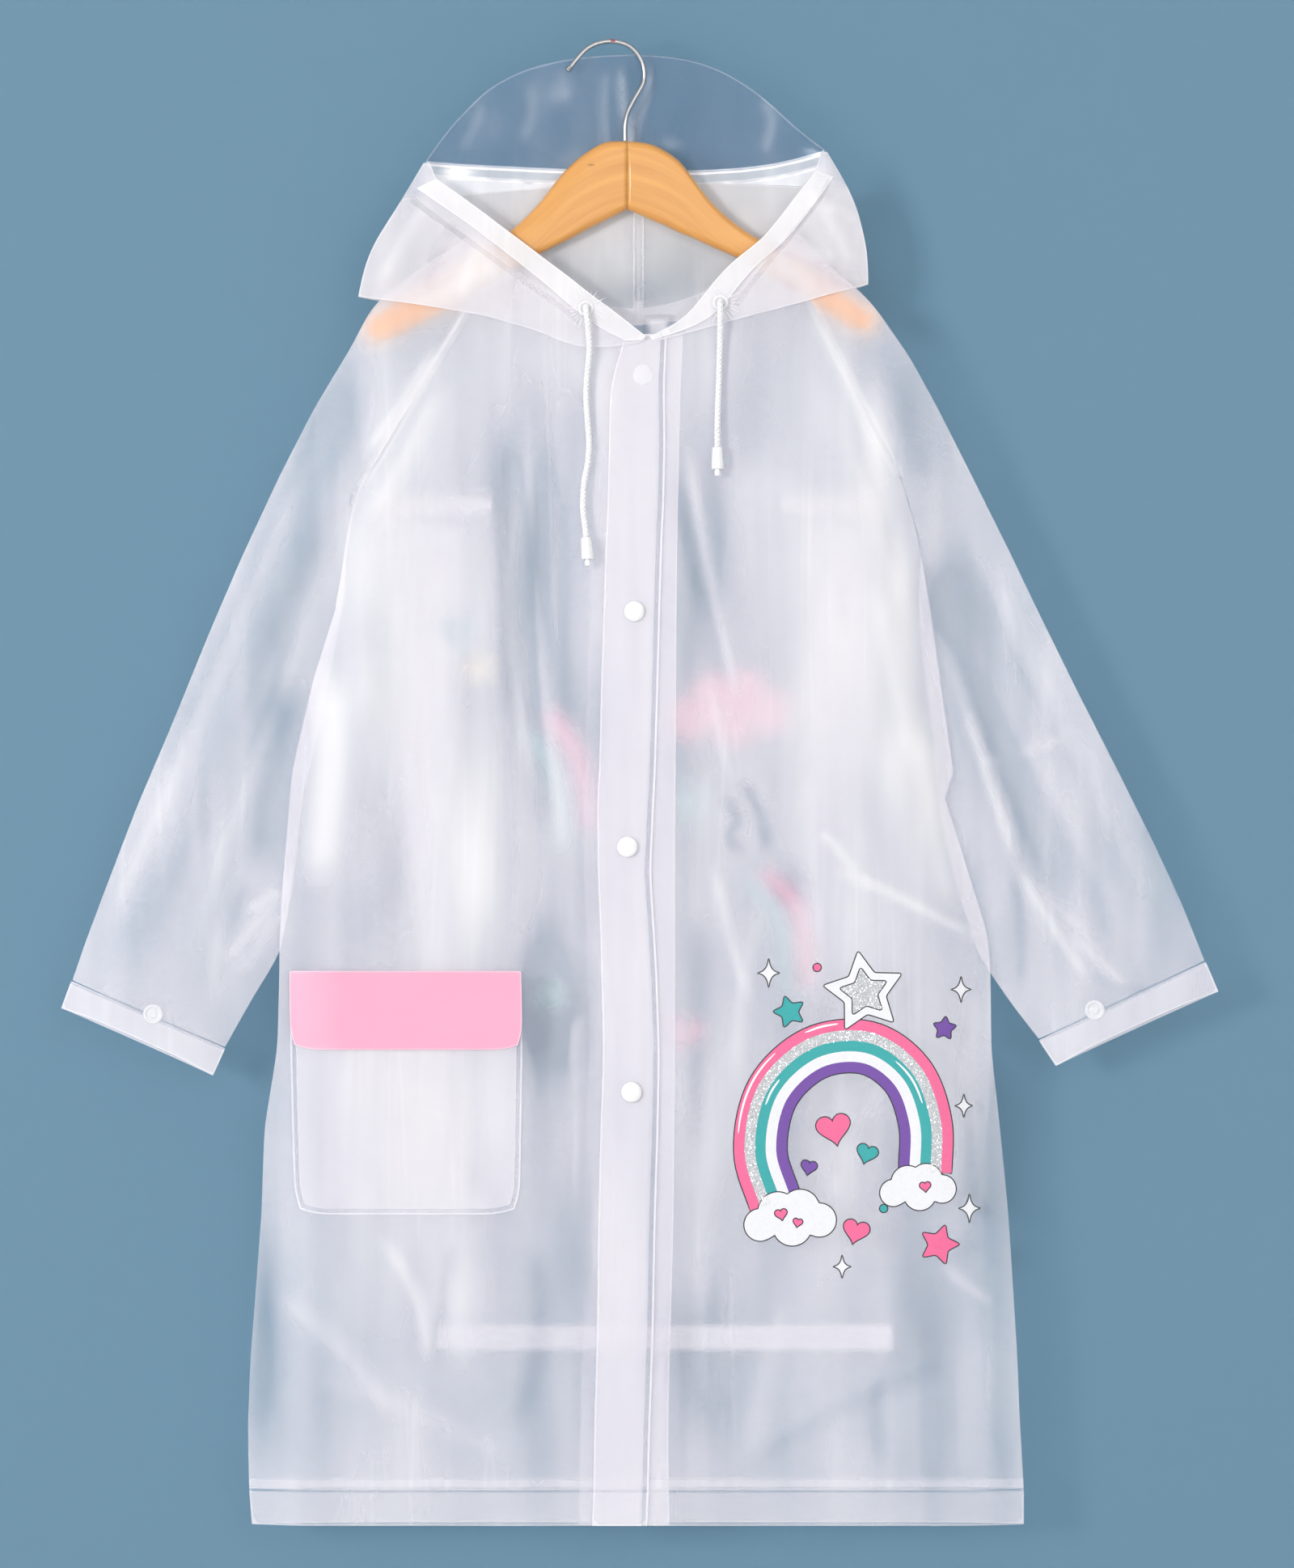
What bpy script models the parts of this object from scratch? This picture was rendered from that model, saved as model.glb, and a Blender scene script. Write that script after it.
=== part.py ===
"""A child's see-through hooded raincoat on its wooden hanger.

The coat hangs as flat as it is kept in a shop: a front and a back layer of soft
film, joined down the sides, with the sleeves spread and the hood laid up behind
the hanger's hook.  Sizes are in millimetres in this file and become metres when
a mesh is made.  X runs to the viewer's right, Z up, and the front faces -Y.
The origin is the inside of the hook's top, where a rail holds it.  "left" and
"right" in names are the viewer's, looking at the front.
"""

import math
from collections import namedtuple

import bmesh
import bpy
from mathutils import Vector
from mathutils.bvhtree import BVHTree
from mathutils.geometry import interpolate_bezier

# ---------------------------------------------------------------- driving sizes
MM = 0.001
WALL = 1.2                      # film wall
BAND_WALL = 1.6                 # turned-up hems and cuffs, two films thick
GAP = 0.3                       # at every seam and between layers
RAGLAN_GAP = 0.6                # between middles, where both walls lean
LAYER = WALL + GAP              # from one layer to the next one laid on it
FLAT_HALF = LAYER / 2           # middle of a wall where front and back meet

SIDE_REACH = 36.0               # width of the rounded edge at a side seam
SHOULDER_REACH = 14.0           # and over the hanger's arms
HOOD_REACH = 22.0               # and at the hood's outer folds
HOOD_SWELL = 8.3                # hood layers, from the middle plane
SLEEVE_BACK = 7.5               # how far the sleeves lie behind the side edges
SLEEVE_SWELL = 6.5

HEM_ROW = 18                    # section where the turned-up hem starts
LAST_ROW = 19
UNDERLAP = 0.85                 # how far the left front reaches under the placket

POCKET_CORNER = 13.0            # size of the pocket's rounded lower corners
FLAP_CORNER = 11.0              # and of the flap's
CORNER_BULGE = math.sqrt(2) - 1  # how far a round corner stands out past its chord
POCKET_TOP = 0.32               # the bag starts this far down under the flap
CASING_WIDTH = 16.0
SNAP_RADIUS = 7.5
CUFF_SNAP_RADIUS = 5.85
CUFF_SNAP_DROP = 6.0            # it straddles the seam, and is seated on the cuff below
CUFF_SNAP_LIFT = 0.4            # to clear the sleeve's wall above the seam
EYELET_RADIUS = 6.0
EYELET_HOLE = 3.5
EYELET_RISE = 0.8
CORD_RADIUS = 2.4
WIRE_RADIUS = 1.7
JOINT_X = 11.0                  # glued joint between the hanger's two arms

# How far each layer of the body stands from the middle plane, by height.
BODY_SWELL = ((-150, 6.4), (-250, 6.4), (-340, 7.6), (-500, 11.5), (-1080, 12.0))

# One row for each section of the front, from the neckline to the hem's edge.
# left, placket, weld, facing and right are the lines that run down the coat;
# pocket and drape are the pocket's two edges, carried on up as fold lines.
FrontRow = namedtuple(
    "FrontRow",
    "left_x left_z pocket drape placket weld facing middle_z crest right_x right_z "
    "drape_out crest_out",
)
FRONT = (
    FrontRow(-84, -157, -76, -36, 10.0, 39.0, 51.0, -211, 64, 123, -147, 0.0, 0.0),
    FrontRow(-108, -197, -99, -48, -1.0, 37.5, 49.0, -247, 66, 142, -184, 0.8, 0.2),
    FrontRow(-145, -260, -134, -58, -2.0, 38.0, 48.0, -290, 67, 169, -238, 2.2, 1.4),
    FrontRow(-182, -321, -168, -62, -3.0, 37.0, 47.0, -337, 68, 208, -314, 2.8, 2.2),
    FrontRow(-189.5, -352, -176, -64, -4.0, 36.0, 46.7, -352, 69, 219, -350, 3.0, 2.4),
    FrontRow(-196.5, -400, -184, -66, -5.5, 34.5, 46.2, -400, 71, 228, -400, 3.0, 2.6),
    FrontRow(-215.5, -460, -203, -62, -7.5, 33.0, 45.8, -460, 73, 236.5, -460, 2.6, 2.4),
    FrontRow(-231, -527, -219, -58, -9.0, 31.0, 45.5, -527, 74, 246, -527, 2.2, 1.6),
    FrontRow(-232.5, -546, -221, -57, -10.5, 30.0, 45.2, -546, 74, 240, -546, 2.0, 1.4),
    FrontRow(-237, -600, -227, -59, -10.0, 27.5, 45.0, -600, 72, 257, -600, 1.6, 0.8),
    FrontRow(-240, -645, -232, -62, -8.0, 30.5, 45.0, -645, 70, 271, -645, 0.8, 0.4),
    FrontRow(-240, -671, -232.5, -66, -7.5, 32.0, 45.0, -671, 70, 273, -671, 0.0, 0.2),
    FrontRow(-241.5, -727, -232, -65, -6.0, 34.0, 45.0, -727, 72, 273.5, -727, 0.0, 0.0),
    FrontRow(-251, -785, -230.5, -66, -8.0, 33.0, 44.5, -785, 76, 280, -785, 0.0, 0.6),
    FrontRow(-253, -846, -228.5, -67, -9.5, 31.0, 44.0, -846, 80, 286, -846, 0.0, 1.2),
    FrontRow(-259, -925, -228, -70, -10.5, 29.5, 42.0, -925, 82, 291, -925, 0.9, 1.8),
    FrontRow(-261, -949, -228, -72, -11.0, 28.8, 41.2, -949, 82, 292.5, -949, 1.1, 1.8),
    FrontRow(-263, -1000, -228, -75, -12.5, 27.0, 40.0, -1000, 82, 294.5, -1000, 1.2, 1.4),
    FrontRow(-262, -1044.5, -228, -78, -13.0, 26.0, 40.5, -1044.5, 82, 297, -1044.5, 0.9, 1.0),
    FrontRow(-260, -1070.5, -228, -78, -14.0, 25.0, 41.0, -1070.5, 82, 297, -1070.5, 0.9, 1.0),
)
FACING_EDGE = 10.0              # the left facing shows this far past the placket

# The back's folds to spread over a school bag: the line of each pleat's edge.
PleatLine = namedtuple("PleatLine", "top_x bottom_x")
PLEAT_TOP_ROW, PLEAT_BAR_ROW, TAPE_ROW = 3, 4, 15
PLEATS = (
    PleatLine(-172, -130),
    PleatLine(-86, -86),
    PleatLine(119, 119),
    PleatLine(198, 205),
)
NECK_SAG = (40.0, 26.0, 10.0)   # dip of the back's first sections at their middle

# One row for each section of a sleeve, from the raglan seam to the cuff's seam.
# outer is the top fold, over the shoulder; inner is the seam under the arm.
SleeveRow = namedtuple("SleeveRow", "outer_x outer_z inner_x inner_z own back")
LEFT_SLEEVE = (
    SleeveRow(-84, -157, -183, -320.4, 0.0, 0.0),
    SleeveRow(-86, -145, -186.0, -325, 0.0, 0.0),
    SleeveRow(-92, -132, -186.8, -328, 0.0, 0.0),
    SleeveRow(-112, -146, -187.5, -332, 0.0, 0.0),
    SleeveRow(-135, -161, -188.4, -337, 0.0, 0.0),
    SleeveRow(-156, -176, -189.4, -341, 0.0, 0.0),
    SleeveRow(-172, -190, -190.2, -345, 0.0, 0.0),
    SleeveRow(-187, -218, -191.4, -351, 0.2, 0.1),
    SleeveRow(-214, -262, -195.2, -374, 0.5, 0.45),
    SleeveRow(-240, -312, -195.0, -400, 0.8, 1.0),
    SleeveRow(-268, -372, -202.0, -440, 1.0, 1.0),
    SleeveRow(-292, -428, -211.0, -488, 1.0, 1.0),
    SleeveRow(-318, -492, -225.0, -545, 1.0, 1.0),
    SleeveRow(-344, -553, -231.0, -602, 1.0, 1.0),
    SleeveRow(-365, -608, -240.5, -657, 1.0, 1.0),
    SleeveRow(-379, -645, -262.0, -692, 1.0, 1.0),
    SleeveRow(-390.5, -678, -281.0, -726, 0.9, 1.0),
)
RIGHT_SLEEVE = (
    SleeveRow(123, -147, 208, -314, 0.0, 0.0),
    SleeveRow(121, -139, 211.4, -318, 0.0, 0.0),
    SleeveRow(128, -131, 212.6, -322, 0.0, 0.0),
    SleeveRow(146, -150.5, 213.8, -327, 0.0, 0.0),
    SleeveRow(162, -167.2, 215.0, -332, 0.0, 0.0),
    SleeveRow(177, -178, 216.2, -337, 0.0, 0.0),
    SleeveRow(189, -191, 217.6, -342, 0.0, 0.0),
    SleeveRow(214, -226, 220.8, -350, 0.2, 0.1),
    SleeveRow(234, -262, 224.2, -372, 0.5, 0.5),
    SleeveRow(258, -309, 222.0, -405, 0.8, 1.0),
    SleeveRow(284, -361, 226.0, -450, 1.0, 1.0),
    SleeveRow(308, -411, 233.0, -500, 1.0, 1.0),
    SleeveRow(337, -470, 237.0, -552, 1.0, 1.0),
    SleeveRow(366, -527, 249.0, -606, 1.0, 1.0),
    SleeveRow(391, -577, 266.0, -660, 1.0, 1.0),
    SleeveRow(411, -620, 290.0, -695, 1.0, 1.0),
    SleeveRow(428.5, -664, 309.5, -720, 0.9, 1.0),
)
NECK_ROW = 2                    # where the top fold starts, at the neck
SHOULDER_ROW = 7                # last sleeve row that lies over the hanger
SLEEVE_COLUMNS = (0.0, 0.045, 0.12, 0.28, 0.5, 0.76, 0.92, 1.0)

# A cuff's four corners in the X-Z plane, and how far its front edge lifts.
Cuff = namedtuple("Cuff", "outer_top inner_top outer_low inner_low lift snap")
CUFFS = {
    "left": Cuff((-391, -679), (-281.3, -727), (-398, -698), (-290, -746), 3.0, (-332, -702)),
    "right": Cuff((429, -665), (310, -721), (438, -686), (322, -739), 3.0, (349, -699)),
}

CUFF_SPOTS = (0.0, 0.06, 0.2, 0.4, 0.6, 0.8, 0.94, 1.0)

# Hood: one row for each section of a front side, from the visor to the V's foot.
# edge is the opening's edge, outer the fold at the side and then the lower fold.
HoodRow = namedtuple("HoodRow", "edge_x edge_z outer_x outer_z")
LEFT_HOOD = (
    HoodRow(-132.0, -87, -136, -87),
    HoodRow(-127, -99, -149, -109),
    HoodRow(-111, -110, -161, -128),
    HoodRow(-92, -124, -172, -145),
    HoodRow(-75, -137, -179, -163),
    HoodRow(-60, -148, -183, -183),
    HoodRow(-53, -153.5, -166, -185.4),
    HoodRow(-46, -159, -146, -188),
    HoodRow(-32, -169, -96, -196),
    HoodRow(-15, -183, -56, -207),
    HoodRow(-4, -190.5, -38, -215),
    HoodRow(4, -196.5, -24, -220),
    HoodRow(18.5, -208.5, 6, -219.5),
    HoodRow(24.0, -212.5, 21, -216.0),
)
RIGHT_HOOD = (
    HoodRow(151.0, -79, 155, -79),
    HoodRow(147, -93, 167, -99),
    HoodRow(131, -114, 176, -117),
    HoodRow(110, -141, 183, -145),
    HoodRow(100, -149, 184.5, -160),
    HoodRow(90, -156, 184.5, -174),
    HoodRow(84, -162, 168, -178.5),
    HoodRow(77, -169, 134, -188),
    HoodRow(66, -183, 100, -197),
    HoodRow(56, -196, 76, -203.5),
    HoodRow(45, -204.5, 57, -209),
    HoodRow(27.5, -212.5, 30, -216.0),
)
# The hood's back, from the visor's band down to where it laps the coat's back.
HoodBackRow = namedtuple("HoodBackRow", "left_x left_z centre_z right_x right_z")
HOOD_SEAM_X = 19.0
TAPE_WIDTH = 7.0                # tape welded over the hood's centre seam
TAPE_START, TAPE_STOP = 22.0, 12.5
HOOD_CORNER = 5                 # row at the corner between side and lower folds
HOOD_LIFT = 1.9                 # the sides' feet lie over the placket
HOOD_BACK = (
    HoodBackRow(-150, -112, -98.5, 170, -104.5),
    HoodBackRow(-172, -145, -122, 183, -143),
    HoodBackRow(-179, -163, -145, 184.5, -160),
    HoodBackRow(-183, -183, -165, 184.5, -174),
    HoodBackRow(-166, -186, -173, 167, -179.5),
    HoodBackRow(-146, -189, -184, 140, -186),
    HoodBackRow(-112, -194, -203, 106, -193),
)
HOOD_BACK_COLUMNS = (0.0, 0.06, 0.18, 0.4, 0.7, 1.0)

# Clear visor: its arched rim, the seam it is welded on by, and the band below.
VisorRow = namedtuple("VisorRow", "rim_x rim_z seam_x seam_z band_x band_z")
VISOR = (
    VisorRow(-134, -84.5, -134, -86.0, -149.5, -111.5),
    VisorRow(-122, -66, -124, -86.6, -134, -110.4),
    VisorRow(-109, -51, -110, -87.4, -116, -108.9),
    VisorRow(-89, -31, -88, -88.6, -92, -107.0),
    VisorRow(-62, -17.5, -60, -90.0, -62, -104.6),
    VisorRow(-34, -11.0, -34, -91.0, -34, -102.3),
    VisorRow(-8, -8.2, -8, -91.8, -8, -100.3),
    VisorRow(19, -7.2, 19, -92.2, 19, -98.2),
    VisorRow(44, -9.2, 44, -92.3, 44, -99.1),
    VisorRow(68, -14, 68, -91.8, 70, -100.0),
    VisorRow(94, -27, 94, -90.2, 98, -101.0),
    VisorRow(116, -44, 115, -87.6, 122, -101.9),
    VisorRow(133, -61, 134, -83.6, 146, -102.8),
    VisorRow(153, -76.5, 153, -78.0, 168, -103.6),
)

# Hanger: one row for each station along an arm, out from the joint.
ArmRow = namedtuple("ArmRow", "x top low half")
LEFT_ARM = (
    ArmRow(JOINT_X - GAP / 2, -70.5, -120, 6.0),
    ArmRow(-5, -71.5, -128, 6.0),
    ArmRow(-19, -79, -135, 6.0),
    ArmRow(-30, -88, -141, 6.0),
    ArmRow(-40, -99, -146, 6.0),
    ArmRow(-55, -118, -153.5, 6.0),
    ArmRow(-75, -137, -165, 6.0),
    ArmRow(-96, -153, -177.5, 6.0),
    ArmRow(-120, -168, -192, 6.0),
    ArmRow(-145, -181, -206, 5.8),
    ArmRow(-160, -189.5, -213.5, 5.2),
    ArmRow(-168, -196, -214, 3.8),
    ArmRow(-172, -201, -211, 2.6),
)
RIGHT_ARM = (
    ArmRow(JOINT_X + GAP / 2, -70.5, -120, 6.0),
    ArmRow(27, -72.5, -127, 6.0),
    ArmRow(39, -78, -132, 6.0),
    ArmRow(49, -85.5, -137, 6.0),
    ArmRow(57, -95.5, -140, 6.0),
    ArmRow(72, -115, -147, 6.0),
    ArmRow(90, -131, -155, 6.0),
    ArmRow(110, -144, -166, 6.0),
    ArmRow(132, -158, -178, 6.0),
    ArmRow(155, -173, -194, 5.8),
    ArmRow(172, -185.5, -205, 5.2),
    ArmRow(180, -192.5, -206, 4.2),
    ArmRow(184, -197.5, -204, 2.6),
)

EYELETS = {"left": (-19.0, -192.0), "right": (78.0, -188.0)}

# Hook wire, tip to foot, in the X-Z plane.
HOOK_PATH = (
    (-30.0, -16.6), (-24.4, -9.8), (-18.2, -3.6), (-10.0, 0.4), (0.0, 1.7), (9.6, -0.4),
    (16.2, -5.0), (21.0, -12.0), (23.2, -20.0), (22.6, -28.0), (19.0, -35.0), (14.4, -43.0),
    (10.8, -51.0), (9.4, -60.0), (9.4, -70.1),
)
HOOK_STEPS = 2

# Cords, from the eyelet down to the top of the plastic end.
LEFT_CORD = (
    (-19.0, -13.5, -190.8), (-18.8, -16.0, -194.0), (-18.0, -17.0, -199.8),
    (-17.2, -16.2, -208.0), (-16.4, -15.0, -218.0), (-16.8, -13.6, -228.0),
    (-18.2, -12.6, -242.0), (-18.8, -12.4, -256.0), (-17.6, -12.6, -274.0),
    (-16.6, -13.0, -290.0), (-17.6, -13.6, -304.0), (-20.2, -14.0, -318.0),
    (-21.0, -14.6, -336.0), (-19.4, -15.6, -350.0), (-18.8, -16.4, -357.6),
)
RIGHT_CORD = (
    (78.0, -13.5, -186.8), (78.0, -16.0, -190.0), (78.0, -16.9, -195.8),
    (78.0, -15.6, -206.0), (77.8, -13.8, -218.0), (77.4, -12.8, -232.0),
    (77.0, -12.8, -246.0), (76.4, -13.4, -262.0), (76.0, -14.8, -278.0),
    (76.0, -16.0, -292.4),
)
CORD_STEP = 10.0                # between the tube's points
END_LENGTH = 16.0               # plastic end on each cord
END_RADII = (4.2, 5.0, 5.1, 4.6)
TIP_LENGTH = 4.5                # cord showing below it
LABEL_BOX = ((23.0, -196.0), (43.0, -217.0))

COLOURS = {
    "film": ((0.86, 0.88, 0.91, 1.0), 0.30),
    "clear": ((0.72, 0.80, 0.86, 1.0), 0.06),
    "band": ((0.93, 0.94, 0.95, 1.0), 0.32),
    "pink": ((0.96, 0.45, 0.64, 1.0), 0.34),
    "white": ((0.92, 0.92, 0.93, 1.0), 0.28),
    "cord": ((0.93, 0.93, 0.93, 1.0), 0.85),
    "wood": ((0.78, 0.42, 0.13, 1.0), 0.42),
    "steel": ((0.75, 0.75, 0.76, 1.0), 0.14),
}


# ---------------------------------------------------------------- small helpers
def mix(a, b, t):
    return a + (b - a) * t


def smooth(t):
    t = min(max(t, 0.0), 1.0)
    return t * t * (3 - 2 * t)


def from_table(table, z):
    """Value at height z from (z, value) pairs that run downwards."""
    for (z_a, v_a), (z_b, v_b) in zip(table, table[1:]):
        if z >= z_b:
            return mix(v_a, v_b, min(max((z_a - z) / (z_a - z_b), 0.0), 1.0))
    return table[-1][1]


def distance_to(path, x, z):
    """Shortest way in the X-Z plane from a point to a line of (x, z, reach) points,
    as a share of the reach there."""
    best = 1e9
    for (xa, za, ra), (xb, zb, rb) in zip(path, path[1:]):
        dx, dz = xb - xa, zb - za
        t = ((x - xa) * dx + (z - za) * dz) / (dx * dx + dz * dz)
        t = min(max(t, 0.0), 1.0)
        away = math.hypot(x - xa - t * dx, z - za - t * dz)
        best = min(best, away / mix(ra, rb, t))
    return best


def rise(share):
    """Rounded edge: 0 at a folded or joined edge, 1 from its reach inwards."""
    return math.sin(math.pi / 2 * min(share, 1.0))


def smooth_path(points, steps):
    """Points on a smooth curve through the given ones, steps to each stretch."""
    points = [Vector(p) for p in points]
    ends = [2 * points[0] - points[1]] + points + [2 * points[-1] - points[-2]]
    path = []
    for a, b, c, d in zip(ends, ends[1:], ends[2:], ends[3:]):
        path += interpolate_bezier(b, b + (c - a) / 6, c - (d - b) / 6, c, steps + 1)[:-1]
    return path + [points[-1]]


def even_path(points, step):
    """The smooth path cut into equal stretches of about one step."""
    fine = smooth_path(points, 12)
    lengths = [0.0]
    for a, b in zip(fine, fine[1:]):
        lengths.append(lengths[-1] + (b - a).length)
    count = max(2, round(lengths[-1] / step))
    path, k = [], 0
    for i in range(count + 1):
        want = lengths[-1] * i / count
        while k < len(fine) - 2 and lengths[k + 1] < want:
            k += 1
        span = lengths[k + 1] - lengths[k]
        path.append(fine[k].lerp(fine[k + 1], (want - lengths[k]) / span))
    return path


# ---------------------------------------------------------------- making objects
def clear_scene():
    for obj in list(bpy.data.objects):
        bpy.data.objects.remove(obj, do_unlink=True)


def material(name):
    found = bpy.data.materials.get(name)
    if found:
        return found
    colour, roughness = COLOURS[name]
    made = bpy.data.materials.new(name)
    made.use_nodes = True
    shader = made.node_tree.nodes["Principled BSDF"]
    shader.inputs["Base Color"].default_value = colour
    shader.inputs["Roughness"].default_value = roughness
    shader.inputs["Metallic"].default_value = 1.0 if name == "steel" else 0.0
    return made


def add_object(name, data, finish):
    obj = bpy.data.objects.new(name, data)
    bpy.context.collection.objects.link(obj)
    data.materials.append(material(finish))
    return obj


def add_sheet(name, grid, finish="film", wall=WALL, closed=False):
    """A wall whose middle runs through a grid of points, row by row."""
    bm = bmesh.new()
    verts = [[bm.verts.new(p * MM) for p in row] for row in grid]
    for upper, lower in zip(verts, verts[1:]):
        pairs = list(zip(range(len(upper)), range(1, len(upper))))
        if closed:
            pairs.append((len(upper) - 1, 0))
        for a, b in pairs:
            bm.faces.new((upper[a], upper[b], lower[b], lower[a]))
    mesh = bpy.data.meshes.new(name)
    bm.to_mesh(mesh)
    bm.free()
    mesh.shade_smooth()
    obj = add_object(name, mesh, finish)
    thick = obj.modifiers.new("wall", "SOLIDIFY")
    thick.thickness = wall * MM
    thick.offset = 0.0
    return obj


def add_rings(name, rings, finish):
    """A closed solid lofted through rings of points, with flat ends."""
    bm = bmesh.new()
    loops = [[bm.verts.new(Vector(p) * MM) for p in ring] for ring in rings]
    for a, b in zip(loops, loops[1:]):
        for i in range(len(a)):
            j = (i + 1) % len(a)
            bm.faces.new((a[i], a[j], b[j], b[i]))
    bm.faces.new(loops[0])
    bm.faces.new(loops[-1])
    bmesh.ops.recalc_face_normals(bm, faces=bm.faces)
    mesh = bpy.data.meshes.new(name)
    bm.to_mesh(mesh)
    bm.free()
    mesh.shade_smooth()
    mesh.set_sharp_from_angle(angle=math.radians(35))
    return add_object(name, mesh, finish)


def add_turned(name, profile, place, axis, finish, sides=24):
    """A round piece: (radius, height) points turned about axis, standing at place."""
    turn = Vector(axis).to_track_quat("Z", "Y")
    rings = []
    for radius, height in profile:
        ring = []
        for k in range(sides):
            angle = math.tau * k / sides
            spoke = Vector((radius * math.cos(angle), radius * math.sin(angle), height))
            ring.append(Vector(place) + turn @ spoke)
        rings.append(ring)
    return add_rings(name, rings, finish)


def add_tube(name, path, radius, finish, detail=2):
    curve = bpy.data.curves.new(name, "CURVE")
    curve.dimensions = "3D"
    curve.bevel_depth = radius * MM
    curve.bevel_resolution = detail
    curve.use_fill_caps = True
    spline = curve.splines.new("POLY")
    spline.points.add(len(path) - 1)
    for point, place in zip(spline.points, path):
        point.co = (*(place * MM), 1.0)
    return add_object(name, curve, finish)


# ---------------------------------------------------------------- grids
def part_of(grid, rows, columns, out=0.0):
    """A piece of a grid, from and to given rows and columns, moved out along Y."""
    (r0, r1), (c0, c1) = rows, columns
    shift = Vector((0, out, 0))
    return [[p + shift for p in row[c0:c1 + 1]] for row in grid[r0:r1 + 1]]


def trimmed(grid, top=0.0, low=0.0, first=0.0, last=0.0):
    """The same piece with its edges drawn in by these widths, for a seam's gap."""
    def drawn(a, b, width):
        return a + (b - a).normalized() * width

    new = [[p.copy() for p in row] for row in grid]
    if top:
        new[0] = [drawn(a, b, top) for a, b in zip(grid[0], grid[1])]
    if low:
        new[-1] = [drawn(a, b, low) for a, b in zip(grid[-1], grid[-2])]
    for row in new:
        a, b = row[0].copy(), row[1].copy()
        y, z = row[-1].copy(), row[-2].copy()
        row[0] = drawn(a, b, first)
        row[-1] = drawn(y, z, last)
    return new


def side_path(side):
    """Side edge of the body, from under the arm to the hem, with its reach."""
    return [(getattr(r, side + "_x"), getattr(r, side + "_z"), SIDE_REACH)
            for r in FRONT[3:]]


def shoulder_path(rows):
    """Top fold of a sleeve, from the neck to the cuff, with its reach."""
    path = []
    for i, row in enumerate(rows[NECK_ROW:], start=NECK_ROW):
        down = smooth((i - SHOULDER_ROW) / 3)
        path.append((row.outer_x, row.outer_z, mix(SHOULDER_REACH, SIDE_REACH, down)))
    return path


def arm_path(rows):
    """Seam under the arm, from the body to the cuff, with its reach."""
    return [(row.inner_x, row.inner_z, SIDE_REACH) for row in rows]


BODY_EDGES = (
    side_path("left"), side_path("right"),
    shoulder_path(LEFT_SLEEVE), shoulder_path(RIGHT_SLEEVE),
)


def body_depth(x, z):
    """How far a body layer's middle stands from the middle plane."""
    share = min(distance_to(path, x, z) for path in BODY_EDGES)
    return FLAT_HALF + from_table(BODY_SWELL, z) * rise(share)


def front_columns(row):
    """X of each column of one section of the front."""
    pocket = [mix(row.pocket, row.drape, k / 5) for k in range(6)]
    under = mix(row.placket, row.weld, UNDERLAP)
    middle = [row.placket - FACING_EDGE, row.placket, under, row.weld, row.facing, row.crest]
    outer = [mix(row.crest, row.right_x, t) for t in (0.22, 0.44, 0.64, 0.82, 0.94, 1.0)]
    return [row.left_x] + pocket + middle + outer


POCKET_COLUMNS = (1, 6)
POCKET_ROWS = (11, 14)
DRAPE_COLUMN, EDGE_COLUMN, PLACKET_COLUMN, UNDER_COLUMN = 6, 7, 8, 9
WELD_COLUMN, FACING_COLUMN, CREST_COLUMN, RIGHT_COLUMN = 10, 11, 12, 18


def section_height(row, x):
    """Z of a section at x: level at the placket, rising to the seams at the top."""
    if x < row.placket:
        t = (x - row.left_x) / (row.placket - row.left_x)
        return mix(row.left_z, row.middle_z, t)
    if x > row.facing:
        t = (x - row.facing) / (row.right_x - row.facing)
        return mix(row.middle_z, row.right_z, t)
    return row.middle_z


def front_grid():
    grid = []
    for row in FRONT:
        line = []
        for column, x in enumerate(front_columns(row)):
            z = section_height(row, x)
            out = body_depth(x, z)
            if column == DRAPE_COLUMN:
                out += row.drape_out
            if column == CREST_COLUMN:
                out += row.crest_out
            line.append(Vector((x, -out, z)))
        grid.append(line)
    return grid


def pleat_share(index, z):
    """Where a pleat line crosses the back's section at height z, from 0 to 1."""
    top, bottom = FRONT[PLEAT_TOP_ROW], FRONT[TAPE_ROW]
    down = min(max((top.left_z - z) / (top.left_z - bottom.left_z), 0.0), 1.0)
    line = PLEATS[index]
    left = mix(top.left_x, bottom.left_x, down)
    right = mix(top.right_x, bottom.right_x, down)
    return (mix(line.top_x, line.bottom_x, down) - left) / (right - left)


def back_shares(z):
    """The back's columns at height z, as shares of its width."""
    stops = [0.0] + [pleat_share(k, z) for k in range(4)] + [1.0]
    shares = []
    for a, b, steps in zip(stops, stops[1:], (2, 2, 4, 2, 2)):
        shares += [mix(a, b, k / steps) for k in range(steps)]
    return shares + [1.0]


PLEAT_COLUMNS = {"left": (2, 4), "right": (8, 10)}
BACK_LAST = 12


def back_grid():
    grid = []
    for index, row in enumerate(FRONT):
        sag = NECK_SAG[index] if index < len(NECK_SAG) else 0.0
        line = []
        for share in back_shares((row.left_z + row.right_z) / 2):
            x = mix(row.left_x, row.right_x, share)
            z = mix(row.left_z, row.right_z, share) - sag * math.sin(math.pi * share)
            line.append(Vector((x, body_depth(x, z), z)))
        grid.append(line)
    return grid


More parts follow.
